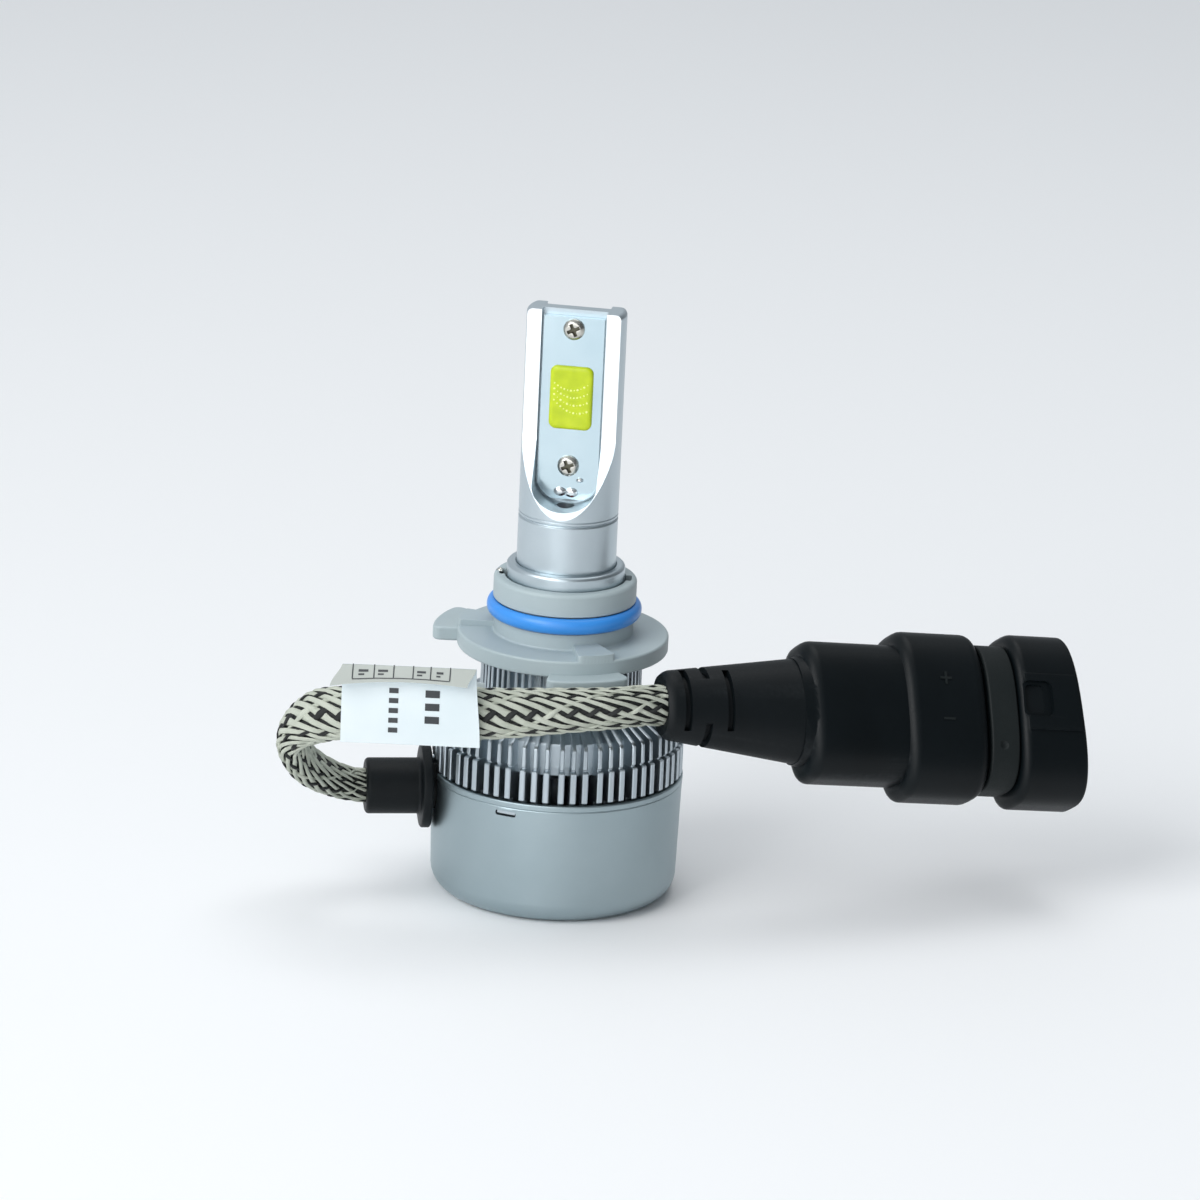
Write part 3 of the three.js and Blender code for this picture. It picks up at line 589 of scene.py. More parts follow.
def braid_strand(verts, faces, uvs, turn, index, width):
    """One flat bundle winding round the sleeve: over three that it crosses and under one, or the reverse."""
    steps = len(LINE) - 1
    half, thick, mean_radius = width / 2, 0.17, 2.75
    profile = [
        (-half, -0.03), (-half * 0.75, thick), (0, thick * 1.4),
        (half * 0.75, thick), (half, -0.03), (0, -0.12),
    ]
    base = len(verts)
    for i in range(steps + 1):
        s = LEAD_LENGTH * i / steps
        angle = 2 * math.pi * (index / STRANDS + turn * s / PITCH)
        crossing = 2 * STRANDS * s / PITCH + turn * 2 * index
        distance = abs((crossing + 2) % 4 - 2)
        pinch = math.cos(math.pi * min(distance, 1.1) / 2.2) ** 2
        lift = UNDULATION * turn * (1 - 2 * pinch)
        scale = min(1.0, lead_size(s)[0] / 3.2)
        for offset, rise in profile:
            verts.append(lead_point(i, angle - turn * offset * scale / mean_radius, 0.05 + lift + rise))
            uvs.append((offset / width + 0.5, s / 10))
    sides, ends = tube_faces(base, steps + 1, len(profile))
    faces.extend(sides + ends)


def lead_sleeve():
    verts, uvs = [], []
    ring = 28
    rings = len(LINE)
    for i in range(rings):
        for k in range(ring):
            verts.append(lead_point(i, 2 * math.pi * k / ring, -0.12))
            uvs.append((k / ring, i / rings))
    sides, ends = tube_faces(0, rings, ring)
    faces = sides + ends
    marks = [1] * len(faces)
    for k in range(STRANDS):
        for turn in (1, -1):
            cream = turn > 0 or k % 4 == 1
            before = len(faces)
            braid_strand(verts, faces, uvs, turn, k, 0.76 if turn > 0 else 0.55)
            marks += [0 if cream else 1] * (len(faces) - before)
    mesh = bpy.data.meshes.new("raw")
    mesh.from_pydata([tuple(v) for v in verts], [], faces)
    layer = mesh.uv_layers.new(name="strand")
    for loop in mesh.loops:
        layer.data[loop.index].uv = uvs[loop.vertex_index]
    bm = bmesh.new()
    bm.from_mesh(mesh)
    bmesh.ops.recalc_face_normals(bm, faces=bm.faces)
    bm.to_mesh(mesh)
    bm.free()
    sleeve = bpy.data.objects.new("raw", mesh)
    scene.collection.objects.link(sleeve)
    finish(sleeve, "braided_lead", ("cream", "tracer"), replaces=("lead_sleeve",), sharp=60,
           weighted=False)
    sleeve.data.polygons.foreach_set("material_index", marks)
    sleeve.data.update()
    return sleeve


# -------- the paper flag
LABEL_START, LABEL_STOP = 31.2, 50.6  # distances along the lead
PAPER = 0.14


def lead_at(s):
    """The lead's point nearest to a distance along it."""
    i = round(s / LEAD_LENGTH * (len(LINE) - 1))
    return LINE[min(max(i, 0), len(LINE) - 1)]


def label_point(s, u, lift=0.0):
    """A point of the flag: s along the lead, u along the sheet from its hidden edge, lift off its face."""
    centre = LABEL_FROM + LABEL_WAY * (s - LABEL_START)
    centre.z = centre.z * 0.7 + lead_at(s).z * 0.3
    forward = Vector((LABEL_WAY.y, -LABEL_WAY.x, 0)).normalized()
    x, z, nx, nz = label_section(u, (s - LABEL_START) / (LABEL_STOP - LABEL_START))
    return centre + forward * (x + nx * lift) + Vector((0, 0, z + nz * lift))


def label_section(u, t):
    """Forward and up place of the sheet at u, and its outward normal, for t from left to right."""
    corners = [(-3.0, 4.3), (-3.0, -3.3), (2.9, -3.45), (3.15, 4.4), (2.95, 8.3)]
    lengths = [0]
    for a, b in zip(corners, corners[1:]):
        lengths.append(lengths[-1] + math.dist(a, b))
    fold = lengths[-1]
    if u <= fold:
        j = max(k for k in range(4) if lengths[k] <= u)
        f = (u - lengths[j]) / (lengths[j + 1] - lengths[j])
        (ax, az), (bx, bz) = corners[j], corners[j + 1]
        length = math.dist(corners[j], corners[j + 1])
        nx, nz = (bz - az) / length, -(bx - ax) / length
        bow = 0.12 * math.sin(math.pi * f) * (1 if j == 2 else 0)
        return ax + (bx - ax) * f + nx * bow, az + (bz - az) * f, nx, nz
    down = (u - fold) * (0.84 + 0.26 * (2 * t - 1) ** 2)
    lean = math.radians(38 - 8 * math.sin(math.pi * t))
    x = 3.0 + 0.25 * math.sin(min(down / 0.5, 1) * math.pi / 2) + down * math.sin(lean)
    z = 8.35 - down * math.cos(lean)
    return x, z, math.cos(lean), math.sin(lean)


LABEL_FROM = lead_at(LABEL_START).copy()
LABEL_WAY = lead_at(LABEL_STOP) - LABEL_FROM
LABEL_WAY.z = 0
LABEL_WAY.normalize()
FRONT_FOOT, FRONT_TOP, FLAG_FOLD = 13.5, 21.3, 25.25  # along the sheet, from its hidden edge


def sheet_patch(verts, faces, s_low, s_high, u_line, lift_in, lift_out, steps=24):
    """A thin closed patch of sheet between two distances along the lead, over a list of sheet places."""
    columns = steps + 1
    base = len(verts)
    for lift in (lift_out, lift_in):
        for u in u_line:
            for i in range(columns):
                f = i / steps
                low = s_low(u) if callable(s_low) else s_low
                high = s_high(u) if callable(s_high) else s_high
                verts.append(label_point(low + (high - low) * f, u, lift))
    rows = len(u_line)
    face = rows * columns

    def at(layer, row, column):
        return base + layer * face + row * columns + column

    for row in range(rows - 1):
        for column in range(steps):
            for layer in (0, 1):
                low, high = at(layer, row, column), at(layer, row + 1, column)
                faces.append([low, low + 1, high + 1, high])
    for column in range(steps):
        for row in (0, rows - 1):
            near, far = at(0, row, column), at(1, row, column)
            faces.append([near, near + 1, far + 1, far])
    for row in range(rows - 1):
        for column in (0, steps):
            near, far = at(0, row, column), at(1, row, column)
            faces.append([near, near + columns, far + columns, far])


def paper_flag():
    flag_end = FLAG_FOLD + 2.9
    count = 64
    places = [flag_end * i / count for i in range(count + 1)]
    verts, faces = [], []

    def low(u):
        return LABEL_START - 1.5 * smoothstep(u, FLAG_FOLD, flag_end)

    def high(u):
        upright = LABEL_STOP - 0.8 * smoothstep(u, FRONT_FOOT, FLAG_FOLD)
        return upright - 1.1 * smoothstep(u, FLAG_FOLD, flag_end)

    sheet_patch(verts, faces, low, high, places, -PAPER, 0)
    flag = raw(verts, faces)
    finish(flag, "paper_flag", ("paper", "paper_painted_shade"), replaces=("lead_label",), sharp=50,
           weighted=False)
    lead_top = label_point(LABEL_START, FRONT_TOP).z * MM
    # Faces above the lead's top that face upward take the grey paper: painted shade on the flap.
    for face in flag.data.polygons:
        face.material_index = int(face.center.z > lead_top and face.normal.z > 0.3)


def flag_print():
    """Plain bars where the flag is printed, and an empty table on its folded end."""
    verts, faces = [], []

    def bar(s_low, s_high, u_low, u_high):
        places = [u_low + (u_high - u_low) * i / 4 for i in range(5)]
        sheet_patch(verts, faces, s_low, s_high, places, 0.01, 0.05, 4)

    def across(f):
        return left + (right - left) * f

    span = LABEL_STOP - LABEL_START
    for at, width, pieces, filled in ((0.6, 2.0, 3, 0.55), (0.34, 1.3, 5, 0.5)):
        s = LABEL_START + span * at
        step = 1.9 if pieces == 3 else 1.45
        for k in range(pieces):
            u = 22.6 - (k + 1) * step
            bar(s, s + width, u, u + step * filled)
    top, foot = FLAG_FOLD + 0.75, FLAG_FOLD + 2.2
    left, right = LABEL_START + 1.5, LABEL_STOP - 4.4
    bar(left, right, foot, foot + 0.14)
    for f in (0, 0.22, 0.42, 0.62, 0.8, 1):
        bar(across(f) - 0.08, across(f) + 0.08, top - 0.6, foot)
    for f, width in ((0.06, 0.1), (0.26, 0.1), (0.66, 0.09), (0.86, 0.07)):
        bar(across(f), across(f + width), top + 0.15, top + 0.5)
        bar(across(f), across(f + width * 0.6), top + 0.75, top + 1.0)
    finish(raw(verts, faces), "flag_print", "ink", sharp=50, weighted=False)


sleeve_piece = lead_sleeve()
paper_flag()
flag_print()


# -------- fan shell
def fan_shell():
    inner, inner_foot = SHELL_R - SHELL_WALL, SHELL_FOOT_R - SHELL_WALL
    cup = turned([
        (0, 0), (SHELL_FOOT_R, 0, SHELL_FILLET), (SHELL_R - 0.06, 16.9), (SHELL_R - 0.16, 17.05, 0.05),
        (SHELL_R - 0.02, 17.2), (SHELL_R, SHELL_TOP, 0.22), (inner, SHELL_TOP, 0.15),
        (inner_foot, SHELL_FLOOR, 2.2), (0, SHELL_FLOOR),
    ], 192, 8)
    tools = []
    for i in range(8):
        mid, half = i * 45.0, 22.5 - 3.6 - 1.5
        tools.append(sector(6.6, 13.6, mid - half, mid + half, -1, SHELL_FLOOR + 1, 0.8))
    for turn in (0, 120, 240):
        slot = prism(rounded_rectangle(1.55, 0.375, 0.3, 5), 16, 19)
        tools.append(moved(slot, outwards(SNAP_ANGLE + turn, SNAP_Z)))
    notch = prism([(3.6, 9), *arc(0, 0, 3.6, 0, -180, 20), (-3.6, 9)], 13, 20)
    tools.append(moved(notch, outwards(GROMMET_ANGLE, GROMMET_Z)))
    finish(soften(cut(cup, *tools), 0.09, 50), "shell_cup", "shell", replaces=("fan_shell",))


# -------- heat sink
def heat_sink():
    """Sixty fins in twenty groups of three on a tapering core, drawn as one outline at each height."""
    levels = [  # height, tip radius, root radius, tip thickness, root thickness
        (11.2, 16.3, 9.8, 0.7, 0.5), (11.4, 16.5, 9.8, 0.8, 0.52), (18.2, 16.5, 9.8, 0.84, 0.55),
        (18.3, 17.75, 9.8, 0.84, 0.55), (18.45, 17.9, 9.8, 0.86, 0.55), (19.8, 17.9, 10.0, 0.86, 0.58),
        (20.8, 17.9, 14.0, 0.86, 0.66), (21.6, 17.89, 14.9, 0.86, 0.7), (22.75, 17.88, 15.1, 0.86, 0.7),
        (22.88, 17.72, 15.1, 0.82, 0.68), (22.95, 17.3, 15.1, 0.66, 0.58), (23.15, 17.3, 15.1, 0.62, 0.56),
        (23.3, 17.5, 15.1, 0.64, 0.56), (25.9, 17.42, 15.2, 0.62, 0.54), (26.25, 17.25, 15.1, 0.6, 0.54),
        (26.55, 16.85, 14.7, 0.6, 0.54), (29.3, 11.95, 10.8, 0.56, 0.46),
        (29.65, 11.6, 10.4, 0.54, 0.46), (30.0, 11.5, 10.3, 0.54, 0.46), (35.6, 11.4, 10.3, 0.54, 0.46),
        (35.7, 11.3, 10.3, 0.5, 0.44),
    ]
    angles = [math.radians(group * 18 + fin * 5.5 + FIN_TURN - 90)
              for group in range(21) for fin in (-1, 0, 1)]
    rings = []
    for z, tip, root, tip_thick, root_thick in levels:
        bevel = min(0.13, tip_thick * 0.2)
        sides = [(root, root_thick / 2), (tip - bevel, tip_thick / 2), (tip, tip_thick / 2 - bevel)]
        ring = []
        for middle, following in zip(angles[:60], angles[1:]):
            ring += [(r, middle - half / r) for r, half in sides]
            ring += [(r, middle + half / r) for r, half in reversed(sides)]
            ring += [(root, middle + (following - middle) * f) for f in (0.33, 0.67)]
        rings.append([(r * math.cos(a), r * math.sin(a), z) for r, a in ring])
    body = loft(rings)
    bores = [rod(4.0, 10, 30, segments=64), rod(5.1, 23.9, 37, segments=64)]
    pocket = prism([(5.1, -9), *arc(0, 0, 5.1, 0, 180, 24), (-5.1, -9)], 12, 20)
    wireway = rod(2.4, 2, 14)
    for tool in (pocket, wireway):
        moved(tool, outwards(GROMMET_ANGLE, GROMMET_Z))
    cut(body, join(*bores), join(pocket, wireway))
    barbs = []
    for turn in (0, 120, 240):
        angle = SNAP_ANGLE + turn
        barbs.append(sector(15.6, 17.7, angle - 4.4, angle + 4.4, SNAP_Z - 0.1, SNAP_Z + 0.32))
    join(body, *barbs)
    finish(body, "finned_sink", "sink", replaces=("heat_sink",), sharp=30)


# -------- lamp bar and its LED boards
FACET, RAMP_FOOT, RAMP_HEAD = 2.34, 56.5, 66.2
BAR_R, BAR_TOP = 7.05, 85.6
CHIP_ROWS, CHIPS_A_ROW = 4, 11


def facet_tool():
    slope = (BAR_R - FACET) / (RAMP_HEAD - RAMP_FOOT)
    blend = 1.6
    knee = []
    for i in range(13):
        t = -1 + i / 6
        knee.append((FACET + slope * (blend * (1 - t)) ** 2 / (4 * blend), RAMP_HEAD + t * blend))
    low = RAMP_FOOT - 0.8 / slope
    outline = [(BAR_R + 0.8, low), *knee, (FACET, 90), (12, 90), (12, low)]
    return moved(prism(outline, -10, 10), Matrix(((0, 0, -1, 0), (-1, 0, 0, 0), (0, 1, 0, 0), (0, 0, 0, 1))))


def upright_outline(half, foot, end, top, flat=None):
    """Straight sides over a half-oval foot, which may be cut off level."""
    oval = [(half * math.cos(a), foot + end + end * math.sin(a)) for a in
            (math.radians(180 + 180 * i / 36) for i in range(37))]
    if flat is not None:
        level = [p for p in oval if p[1] > flat]
        left = [p for p in level if p[0] < 0]
        right = [p for p in level if p[0] > 0]
        spread = half * math.cos(math.asin((foot + end - flat) / end))
        oval = [*left, (-spread, flat), (spread, flat), *right]
    return [(half, top), (-half, top), *oval]


def lamp_bar():
    bar = turned([
        (0, 24), (5, 24, 0.2), (5, 35.75), (8.25, 35.75, 0.15), (8.25, 46), (8.4, 46.05, 0.05),
        (8.4, 48.6, 0.75), (7.15, 48.6, 0.12), (7.12, 48.15, 0.1), (BAR_R, 48.5),
        (BAR_R, 55.3, 0.06), (BAR_R - 0.28, 55.55, 0.08), (BAR_R, 55.8, 0.06),
        (BAR_R, 56.05, 0.04), (BAR_R - 0.12, 56.15, 0.05), (BAR_R, 56.25, 0.04),
        (BAR_R, BAR_TOP, 0.75), (0, BAR_TOP),
    ], 160, 5)
    lugs = [sector(7.8, 9.2, a - 6, a + 6, 44.2, 45.4, 0.3) for a in (122, 302)]
    tools = []
    for side in (0, 180):
        tools.append(spun(facet_tool(), side))
        channel = prism(upright_outline(4.6, 57.5, 3.4, 90), 0.95, 9)
        tools.append(spun(moved(channel, FACING), side))
        tools.append(rod(1.25, 20, 60, 0, 2.7 if side else -2.7))
    for z in SCREW_HEIGHTS:
        tools.append(shifted(moved(rod(0.85, -3, 3), FACING), 0, 0, z))
    join(bar, *lugs)
    cut(bar, *tools)
    finish(soften(bar, 0.07, 24), "turned_bar", ("bar", "facet_painted_reflection"), replaces=("lamp_head",),
           sharp=30)
    # The flat facets above 60 mm take the near-white metal: a painted reflection.
    for face in bar.data.polygons:
        flat = abs(face.normal.y) > 0.98 and abs(abs(face.center.y) / MM - FACET) < 0.12
        face.material_index = int(flat and face.center.z > 60 * MM)


def led_side(side, name):
    """The board, its emitter, solder joints and screws on one face."""
    outline = upright_outline(4.3, 57.8, 3.1, 84.7, 58.3)
    plate = moved(prism(outline, BOARD_FACE - 1, BOARD_FACE), FACING)
    holes = [shifted(moved(rod(0.95, -4, 4), FACING), 0, 0, z) for z in SCREW_HEIGHTS]
    board = soften(cut(plate, *holes), 0.08, 50)
    finish(spun(board, side), f"mirror_board_{name}", "board", replaces=(f"led_board_{name}",))

    rings = []
    crown = ((0, 0), (0, 0.12), (0.1, 0.3), (0.25, 0.42), (0.45, 0.48), (0.7, 0.5), (1.3, 0.46), (2.0, 0.45))
    for inset, rise in crown:
        outline = rounded_rectangle(3.05 - inset, 4.575 - inset, max(0.35, 1.0 - inset * 0.7), 8)
        rings.append([(x, y, BOARD_FACE + 0.02 + rise) for x, y in outline])
    patch = shifted(moved(loft(rings), FACING), 0, 0, EMITTER_Z)
    finish(spun(patch, side), f"phosphor_{name}", "phosphor", replaces=(f"led_emitter_{name}",),
           sharp=60)

    chips = []
    for row in range(CHIP_ROWS):
        for k in range(CHIPS_A_ROW):
            x = -2.35 + 4.7 * k / (CHIPS_A_ROW - 1)
            z = EMITTER_Z + 1.6 - row * 1.05 + 0.17 * x * x - 0.1 * row * x - 0.45
            size = 0.11 + 0.04 * math.sin(3 * k + row)
            chip = turned([(0, -0.08), (size * 1.3, -0.08), (size, 0.05, 0.04), (0, 0.09)], 12, 2)
            chips.append(shifted(moved(chip, FACING), x, -BOARD_FACE - 0.49, z))
    finish(spun(merged(chips), side), f"led_chips_{name}", "dots", sharp=60, weighted=False)

    for place, z in (("top", SCREW_HEIGHTS[0]), ("bottom", SCREW_HEIGHTS[1])):
        screw = spun(shifted(cross_screw(), 0, 0, z), side)
        finish(screw, f"screw_{name}_{place}", ("steel", "painted_recess_shade"), replaces=(f"board_screw_{name}_{place}",),
               sharp=35)
        # Faces inside the cross recess take the dark steel: painted shade.
        for face in screw.data.polygons:
            out = math.hypot(face.center.x, face.center.z - z * MM) / MM
            face.material_index = int(out < 1.05 and 2.1 < abs(face.center.y) / MM < 2.66)
    blobs = []
    for x, z, size in ((0.62, 59.3, 0.85), (-1.0, 59.35, 0.8), (1.75, 61.2, 0.45)):
        drop = [(0, -0.05), (size, -0.05), (size * 0.9, 0.2, 0.1), (size * 0.45, 0.42, 0.2), (0, 0.45)]
        blob = turned(drop, 24, 4)
        moved(blob, Matrix.Diagonal((1.15, 0.85, 1, 1)))
        blobs.append(shifted(moved(blob, FACING), x, -BOARD_FACE, z))
    finish(spun(merged(blobs), side), f"solder_{name}", "solder", sharp=60, weighted=False)


def merged(solids):
    """Several separate solids as one object."""
    verts, faces = [], []
    for solid in solids:
        base = len(verts)
        verts += [v.co.copy() for v in solid.data.vertices]
        faces += [[base + i for i in face.vertices] for face in solid.data.polygons]
        discard(solid)
    return raw(verts, faces)


def cross_screw():
    body = turned([
        (0, 0.37), (0.7, 0.37), (0.7, 2.02), (1.5, 2.02, 0.06), (1.5, 2.3, 0.16), (1.1, 2.68, 0.4), (0, 2.77),
    ], 64, 5)
    tools = []
    for turn in (0, 90):
        blade = box(0, 0, 2.75, 1.9, 0.5, 1.1)
        tools.append(spun(blade, turn + 25))
    centre = turned([(0, 2.2), (0.42, 2.5), (0.5, 3), (0, 3)], 24)
    cut(body, *tools, centre)
    return moved(soften(body, 0.035, 45), FACING)


# -------- adapter collar
BALL_ANGLE = math.radians(-88)
BALL_PLACE = (math.sin(BALL_ANGLE) * 9.35, -math.cos(BALL_ANGLE) * 9.35, 46.35)


def adapter_collar():
    body = turned([
        (8.6, 36, 0.2), (15, 36, 0.35), (15, 38.4, 0.35), (9.9, 38.4, 0.35), (9.9, 40.7, 0.1),
        (9.15, 40.7, 0.1), (9.15, 43.3, 0.1), (10.15, 43.3, 0.15), (10.15, 46.6, 0.6), (8.6, 46.6, 0.15),
        (8.6, 45.6), (9.4, 45.6), (9.4, 44), (8.6, 44),
    ], 192, 5)
    parts = []
    for angle, half, low, high, radius in LUGS:
        lug = sector(11.9, radius, angle - half, angle + half, low, high, 1.6)
        parts.append(soften(lug, 0.32, 50, 3))
        pad = sector(9.4, 15 - 0.02, angle - 4.5, angle + 17, 37.9, 39.3, 0.5)
        parts.append(soften(pad, 0.14, 50))
    join(body, *parts)
    tools = [sector(7.6, 9.4, a - 8, a + 8, 44.6, 48, 0.2) for a in (97, 277)]
    tools.append(shifted(ball(0.62), *BALL_PLACE))
    cut(body, *tools)
    finish(body, "nylon_collar", "nylon", "collar", ("adapter_collar",), sharp=32)
    pin = shifted(ball(0.5), *BALL_PLACE)
    finish(pin, "steel_ball", "steel", "collar", ("detent_ball",), sharp=80, weighted=False)


def ball(radius):
    steps = 16
    profile = [(radius * math.cos(a), radius * math.sin(a)) for a in
               (math.radians(-90 + 180 * i / steps) for i in range(steps + 1))]
    profile[0], profile[-1] = (0, -radius), (0, radius)
    return turned(profile, 32)


def o_ring():
    angles = [2 * math.pi * k / 28 for k in range(28)]
    section = [(10.1 + 0.9 * math.cos(a), 42 + 1.15 * math.sin(a)) for a in angles]
    finish(turned(section, 192), "blue_ring", "silicone", "collar", ("o_ring",), sharp=80)


# -------- grommet and plug
def grommet():
    body = turned([
        (2.35, 14.6, 0.1), (4.4, 14.6, 0.2), (4.6, 15.7, 0.2), (3.2, 16.1), (3.2, 18.2), (6, 18.2, 0.3),
        (6, 19.6, 0.35), (4, 19.75, 0.5), (4, GROMMET_MOUTH, 0.55), (2.35, GROMMET_MOUTH, 0.3),
    ], 96, 5)
    finish(moved(body, outwards(GROMMET_ANGLE, GROMMET_Z)), "rubber_grommet", "rubber",
           replaces=("cable_grommet",))


def plug_matrix():
    """The plug's own axes: +X its height, +Y to the side with the latch window, +Z away from the lead."""
    azimuth, fall = math.radians(PLUG_AZIMUTH), math.radians(PLUG_FALL)
    axis = Vector((math.cos(fall) * math.cos(azimuth), math.cos(fall) * math.sin(azimuth), -math.sin(fall)))
    upright = Vector((math.sin(fall) * math.cos(azimuth), math.sin(fall) * math.sin(azimuth), math.cos(fall)))
    height = Matrix.Rotation(-math.radians(PLUG_ROLL), 3, axis) @ upright
    side = axis.cross(height)
    return Matrix.Translation(PLUG_AT) @ Matrix((height, side, axis)).transposed().to_4x4()


PLUG = plug_matrix()


def oval(a, b, front=2.7, back=3.6, count=72):
    """A flat oval, fuller on its back than on its front."""
    outline = []
    for i in range(count):
        t = 2 * math.pi * (i + 0.5) / count
        c, k = math.cos(t), math.sin(t)
        power = 2 / (front if k > 0 else back)
        outline.append((math.copysign(abs(c) ** power, c) * a, math.copysign(abs(k) ** power, k) * b))
    return outline


def oval_body(stations, **shape):
    """A lofted body: (z, half height, half thickness) at each station."""
    return loft([[(x, y, z) for x, y in oval(a, b, **shape)] for z, a, b in stations])


def block(a, b, low, high, low_fillet, high_fillet, steps=6):
    """Stations of a flat oval block with both ends rounded."""
    turns = [math.radians(90 * i / steps) for i in range(steps + 1)]
    ends = [(low + low_fillet * (1 - math.cos(t)), low_fillet * (1 - math.sin(t))) for t in turns]
    ends += [(high - high_fillet * (1 - math.sin(t)), high_fillet * (1 - math.cos(t))) for t in turns]
    return [(z, a - inset, b - inset) for z, inset in ends]


BOOT_LENGTH, BOOT_GROOVES = 21.2, (2.8, 5.9, 9.1)


def boot():
    stations = []
    for i in range(41):
        t = i / 40
        round_in = 0.5 * (1 - smoothstep(t, 0, 0.04))
        stations.append((BOOT_LENGTH * t, 4.85 + 2.85 * t - round_in, 3.2 + 1.7 * t - round_in))
    body = oval_body(stations, front=2.05, back=2.3)
    tools = []
    for k, z in enumerate(BOOT_GROOVES):
        a, b = 4.85 + 0.134 * z, 3.2 + 0.08 * z
        for side in (-1, 1):
            groove = oval_body([(z - 0.5, a + 2, b + 2), (z + 0.5, a + 2, b + 2)], front=2.05, back=2.3)
            cut(groove, oval_body([(z - 1, a - 1, b - 0.8), (z + 1, a - 1, b - 0.8)], front=2.05, back=2.3))
            span = box(side * (a - 0.2), 0, z, 4.4, 14, 2) if k == 1 else box(0.3, side * 4.6, z, 9, 8, 2)
            tools.append(boolean(groove, [span], "INTERSECT"))
    mouth = prism(rounded_rectangle(2.95, 2.3, 2.2, 8), -1, 4)
    cut(body, *tools, mouth)
    finish(moved(soften(body, 0.12, 45), PLUG), "relief_boot", "rubber", replaces=("strain_relief_boot",),
           sharp=35)


def driver_case():
    case = oval_body(block(10.1, 5.4, 21.3, 39, 1.8, 0.5))
    front = oval_body(block(12.15, 6.3, 35.9, 48.7, 1.7, 1.9))
    throat_stations = [(20.2, 7.65, 4.85), (21.4, 7.9, 4.95), (22.2, 8.6, 5.0), (23.5, 9.2, 5.1)]
    throat = oval_body(throat_stations, front=2.3, back=2.6)
    inside = oval_body([(23, 8.6, 4.0), (47, 8.6, 4.0)])
    join(case, front, throat)
    cut(case, inside, rod(2, 18, 26), oval_body([(45, 6.2, 1.4), (50, 6.2, 1.4)]))
    finish(moved(soften(case, 0.08, 50), PLUG), "driver_body", "black", replaces=("driver_case",),
           sharp=35)
    marks = [box(4.2, 6.14, 42, 0.32, 0.4, 1.8), box(-1.8, 6.2, 42, 0.32, 0.4, 1.8)]
    join(marks[0], box(4.2, 6.14, 42, 1.8, 0.4, 0.32))
    finish(moved(merged(marks), PLUG), "polarity_marks", "seal", sharp=35,
           weighted=False)


SOCKET_RIM, SOCKET_END, MOUTH_SLANT, BLADE_ASIDE = 53.75, 64.4, 0.055, 4.2


def slanted(solid):
    """Leans the socket's mouth back towards its top."""
    for vertex in solid.data.vertices:
        vertex.co.z -= MOUTH_SLANT * (12.5 + vertex.co.x) * smoothstep(vertex.co.z, 58, 63)
    return solid


def plug_shell():
    outer = slanted(oval_body(socket_stations()))
    neck = oval_body([(49, 9.9, 5.0), (55, 9.9, 5.0)])
    window = shifted(moved(prism(rounded_rectangle(2.1, 1.5, 0.8, 6), 5.45, 8), SIDE), 1.7, 0, 56)
    for vertex in window.data.vertices:
        if vertex.co.y < 6:
            vertex.co.y += 0.2 * (vertex.co.z - 54.5)
    dish = shifted(moved(prism(rounded_rectangle(2.6, 2.3, 1.0, 6), 6.25, 8), SIDE), 1.7, 0, 56.4)
    band = oval_body([(54.6, 12.7, 6.83), (64.1, 12.7, 6.83)])
    boolean(band, [box(1.3, 6, 59.2, 8.4, 6, 9)], "INTERSECT")
    join(outer, neck, slanted(soften(band, 0.15, 50)))
    inside = slanted(oval_body([
        (54.5, 11.0, 5.1), (55.1, 11.2, 5.3), (60, 11.2, 5.3), (63.4, 11.2, 5.3), (64.0, 11.45, 5.55),
        (66, 12.3, 6.2),
    ]))
    slots = [box(side * BLADE_ASIDE, 0, 53, 3.4, 1.4, 12) for side in (-1, 1)]
    cut(outer, inside, window, dish, *slots)
    finish(moved(soften(outer, 0.1, 50), PLUG), "socket_shell", "black", replaces=("plug_shell",),
           sharp=35)


def socket_stations():
    """The socket's outside, with stations along its length to lean its mouth by."""
    stations = block(12.5, 6.6, SOCKET_RIM, SOCKET_END, 1.3, 0.6)
    middle = len(stations) // 2
    return stations[:middle] + [(56 + 0.75 * i, 12.5, 6.6) for i in range(10)] + stations[middle:]


def plug_seal():
    body = oval_body(block(10.75, 5.8, 49.0, 53.45, 0.3, 0.3))
    hole = oval_body([(48, 10.2, 5.3), (55, 10.2, 5.3)])
    dimple = shifted(ball(0.9), -5.2, 6.1, 50.9)
    cut(body, hole, dimple)
    finish(moved(body, PLUG), "waist_seal", "seal", replaces=("plug_seal",), sharp=40)


def blades():
    for side, name in ((1, "positive"), (-1, "negative")):
        outline = [
            (-1.4, 44.3), (1.4, 44.3), (1.4, 57.6, 0.5),
            (0.9, 58.4, 0.3), (-0.9, 58.4, 0.3), (-1.4, 57.6, 0.5),
        ]
        blade = shifted(moved(prism(filleted(outline, 3), -0.4, 0.4), FACING), side * BLADE_ASIDE, 0, 0)
        finish(moved(soften(blade, 0.12, 50), PLUG), f"blade_{name}", "brass",
               replaces=(f"plug_terminal_{name}",))


fan_shell()
heat_sink()
lamp_bar()
led_side(0, "front")
led_side(180, "rear")
adapter_collar()
o_ring()
grommet()
boot()
driver_case()
plug_shell()
plug_seal()
blades()

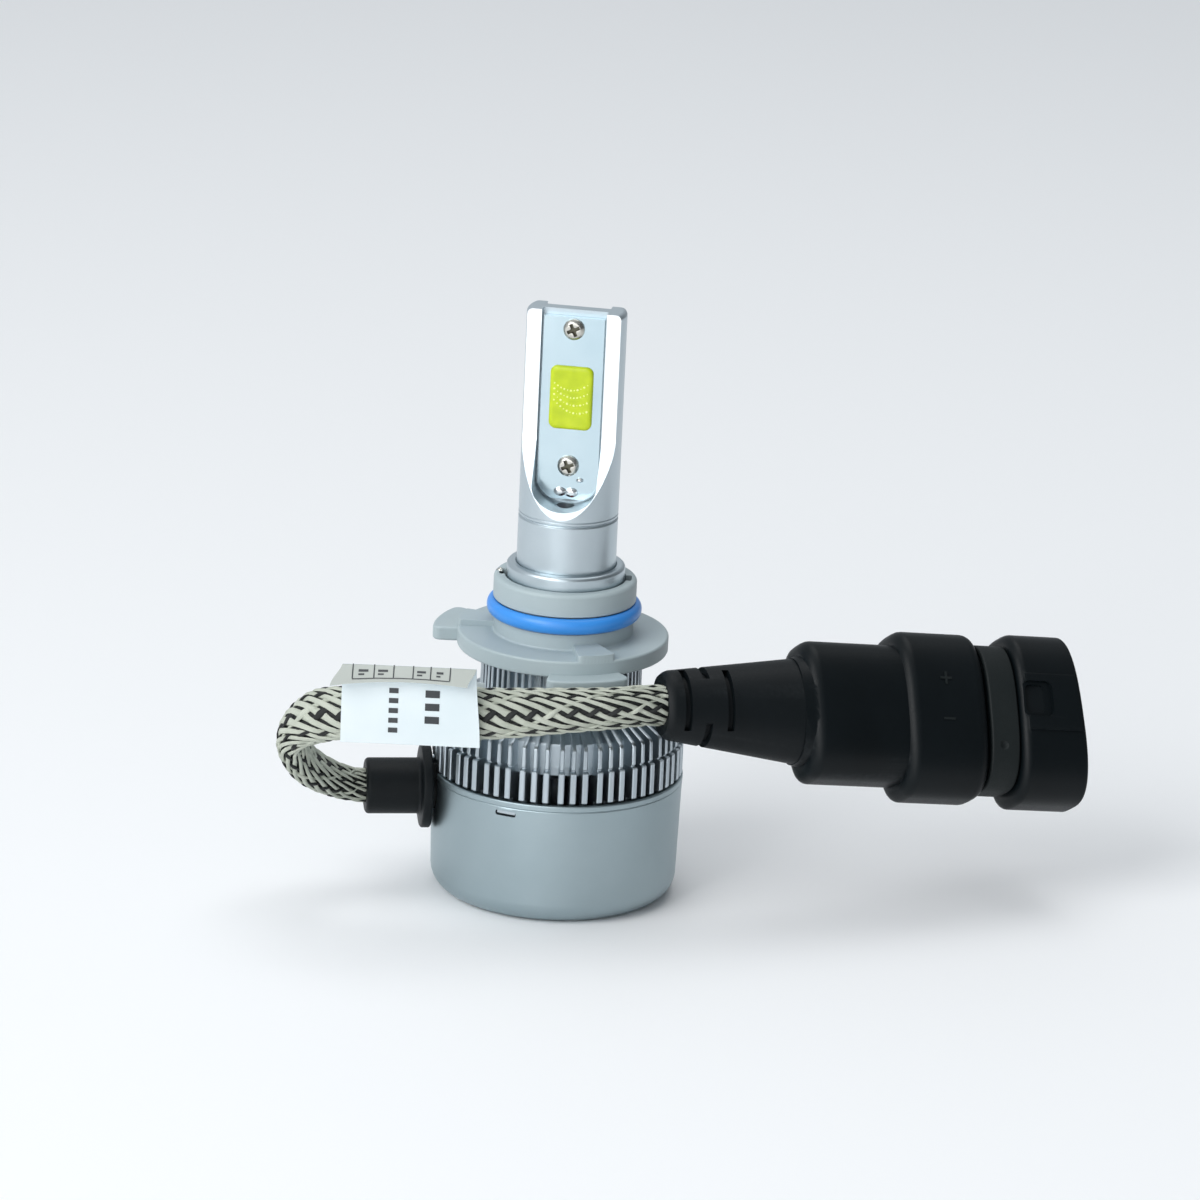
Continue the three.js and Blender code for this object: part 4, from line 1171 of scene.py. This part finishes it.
# -------- CAD nodes that stay, in better materials
KEPT = {
    "fan_frame": "black", "fan_rotor": "black", "rotor_magnet": "ferrite", "fan_shaft": "steel",
    "fan_bearing": "brass", "fan_stator": "copper", "fan_circuit_board": "green",
    "supply_wire_positive": "red", "supply_wire_negative": "wire",
    "driver_circuit_board": "green", "driver_inductor": "ferrite", "driver_capacitor": "wire",
    "driver_chip": "black",
}
for side in ("front", "rear"):
    KEPT[f"led_wire_{side}_positive"] = "red"
    KEPT[f"led_wire_{side}_negative"] = "wire"
for name, look in KEPT.items():
    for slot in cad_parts[name].material_slots:
        slot.material = LOOKS[look]


# -------- floor and light
def add_floor():
    mesh = bpy.data.meshes.new("floor")
    mesh.from_pydata([(-6, -6, 0), (6, -6, 0), (6, 6, 0), (-6, 6, 0)], [], [(0, 1, 2, 3)])
    floor = bpy.data.objects.new("floor", mesh)
    scene.collection.objects.link(floor)
    mesh.materials.append(new_material("floor", (0.9, 0.91, 0.92), 0, 0.7))


def add_light(name, at, aim, size, power, color=(1, 1, 1)):
    data = bpy.data.lights.new(name, "AREA")
    data.shape, data.size, data.energy, data.color = "SQUARE", size, power, color
    light = bpy.data.objects.new(name, data)
    light.location = at
    light.rotation_euler = (Vector(at) - Vector(aim)).to_track_quat("Z", "Y").to_euler()
    scene.collection.objects.link(light)


def add_world():
    """A pale surround that is darker on the right."""
    world = bpy.data.worlds.new("studio")
    world.use_nodes = True
    tree = world.node_tree
    background = tree.nodes["Background"]
    background.inputs["Color"].default_value = (0.9, 0.95, 1, 1)
    where = tree.nodes.new("ShaderNodeTexCoord")
    split = tree.nodes.new("ShaderNodeSeparateXYZ")
    strength = tree.nodes.new("ShaderNodeMapRange")
    for socket, number in (("From Min", -0.2), ("From Max", 0.8), ("To Min", 0.66), ("To Max", 0.16)):
        strength.inputs[socket].default_value = number
    tree.links.new(where.outputs["Generated"], split.inputs[0])
    tree.links.new(split.outputs["X"], strength.inputs["Value"])
    tree.links.new(strength.outputs["Result"], background.inputs["Strength"])
    scene.world = world


add_floor()
add_world()
add_light("key", (-0.55, -0.75, 0.75), (0, 0, 0.04), 0.7, 7.4)
add_light("front", (-0.15, -0.9, 0.25), (0.01, 0, 0.045), 0.6, 2.0)
add_light("top", (0.05, 0.2, 0.9), (0.02, 0, 0.03), 0.6, 2.2)
scene.view_settings.view_transform = "Standard"
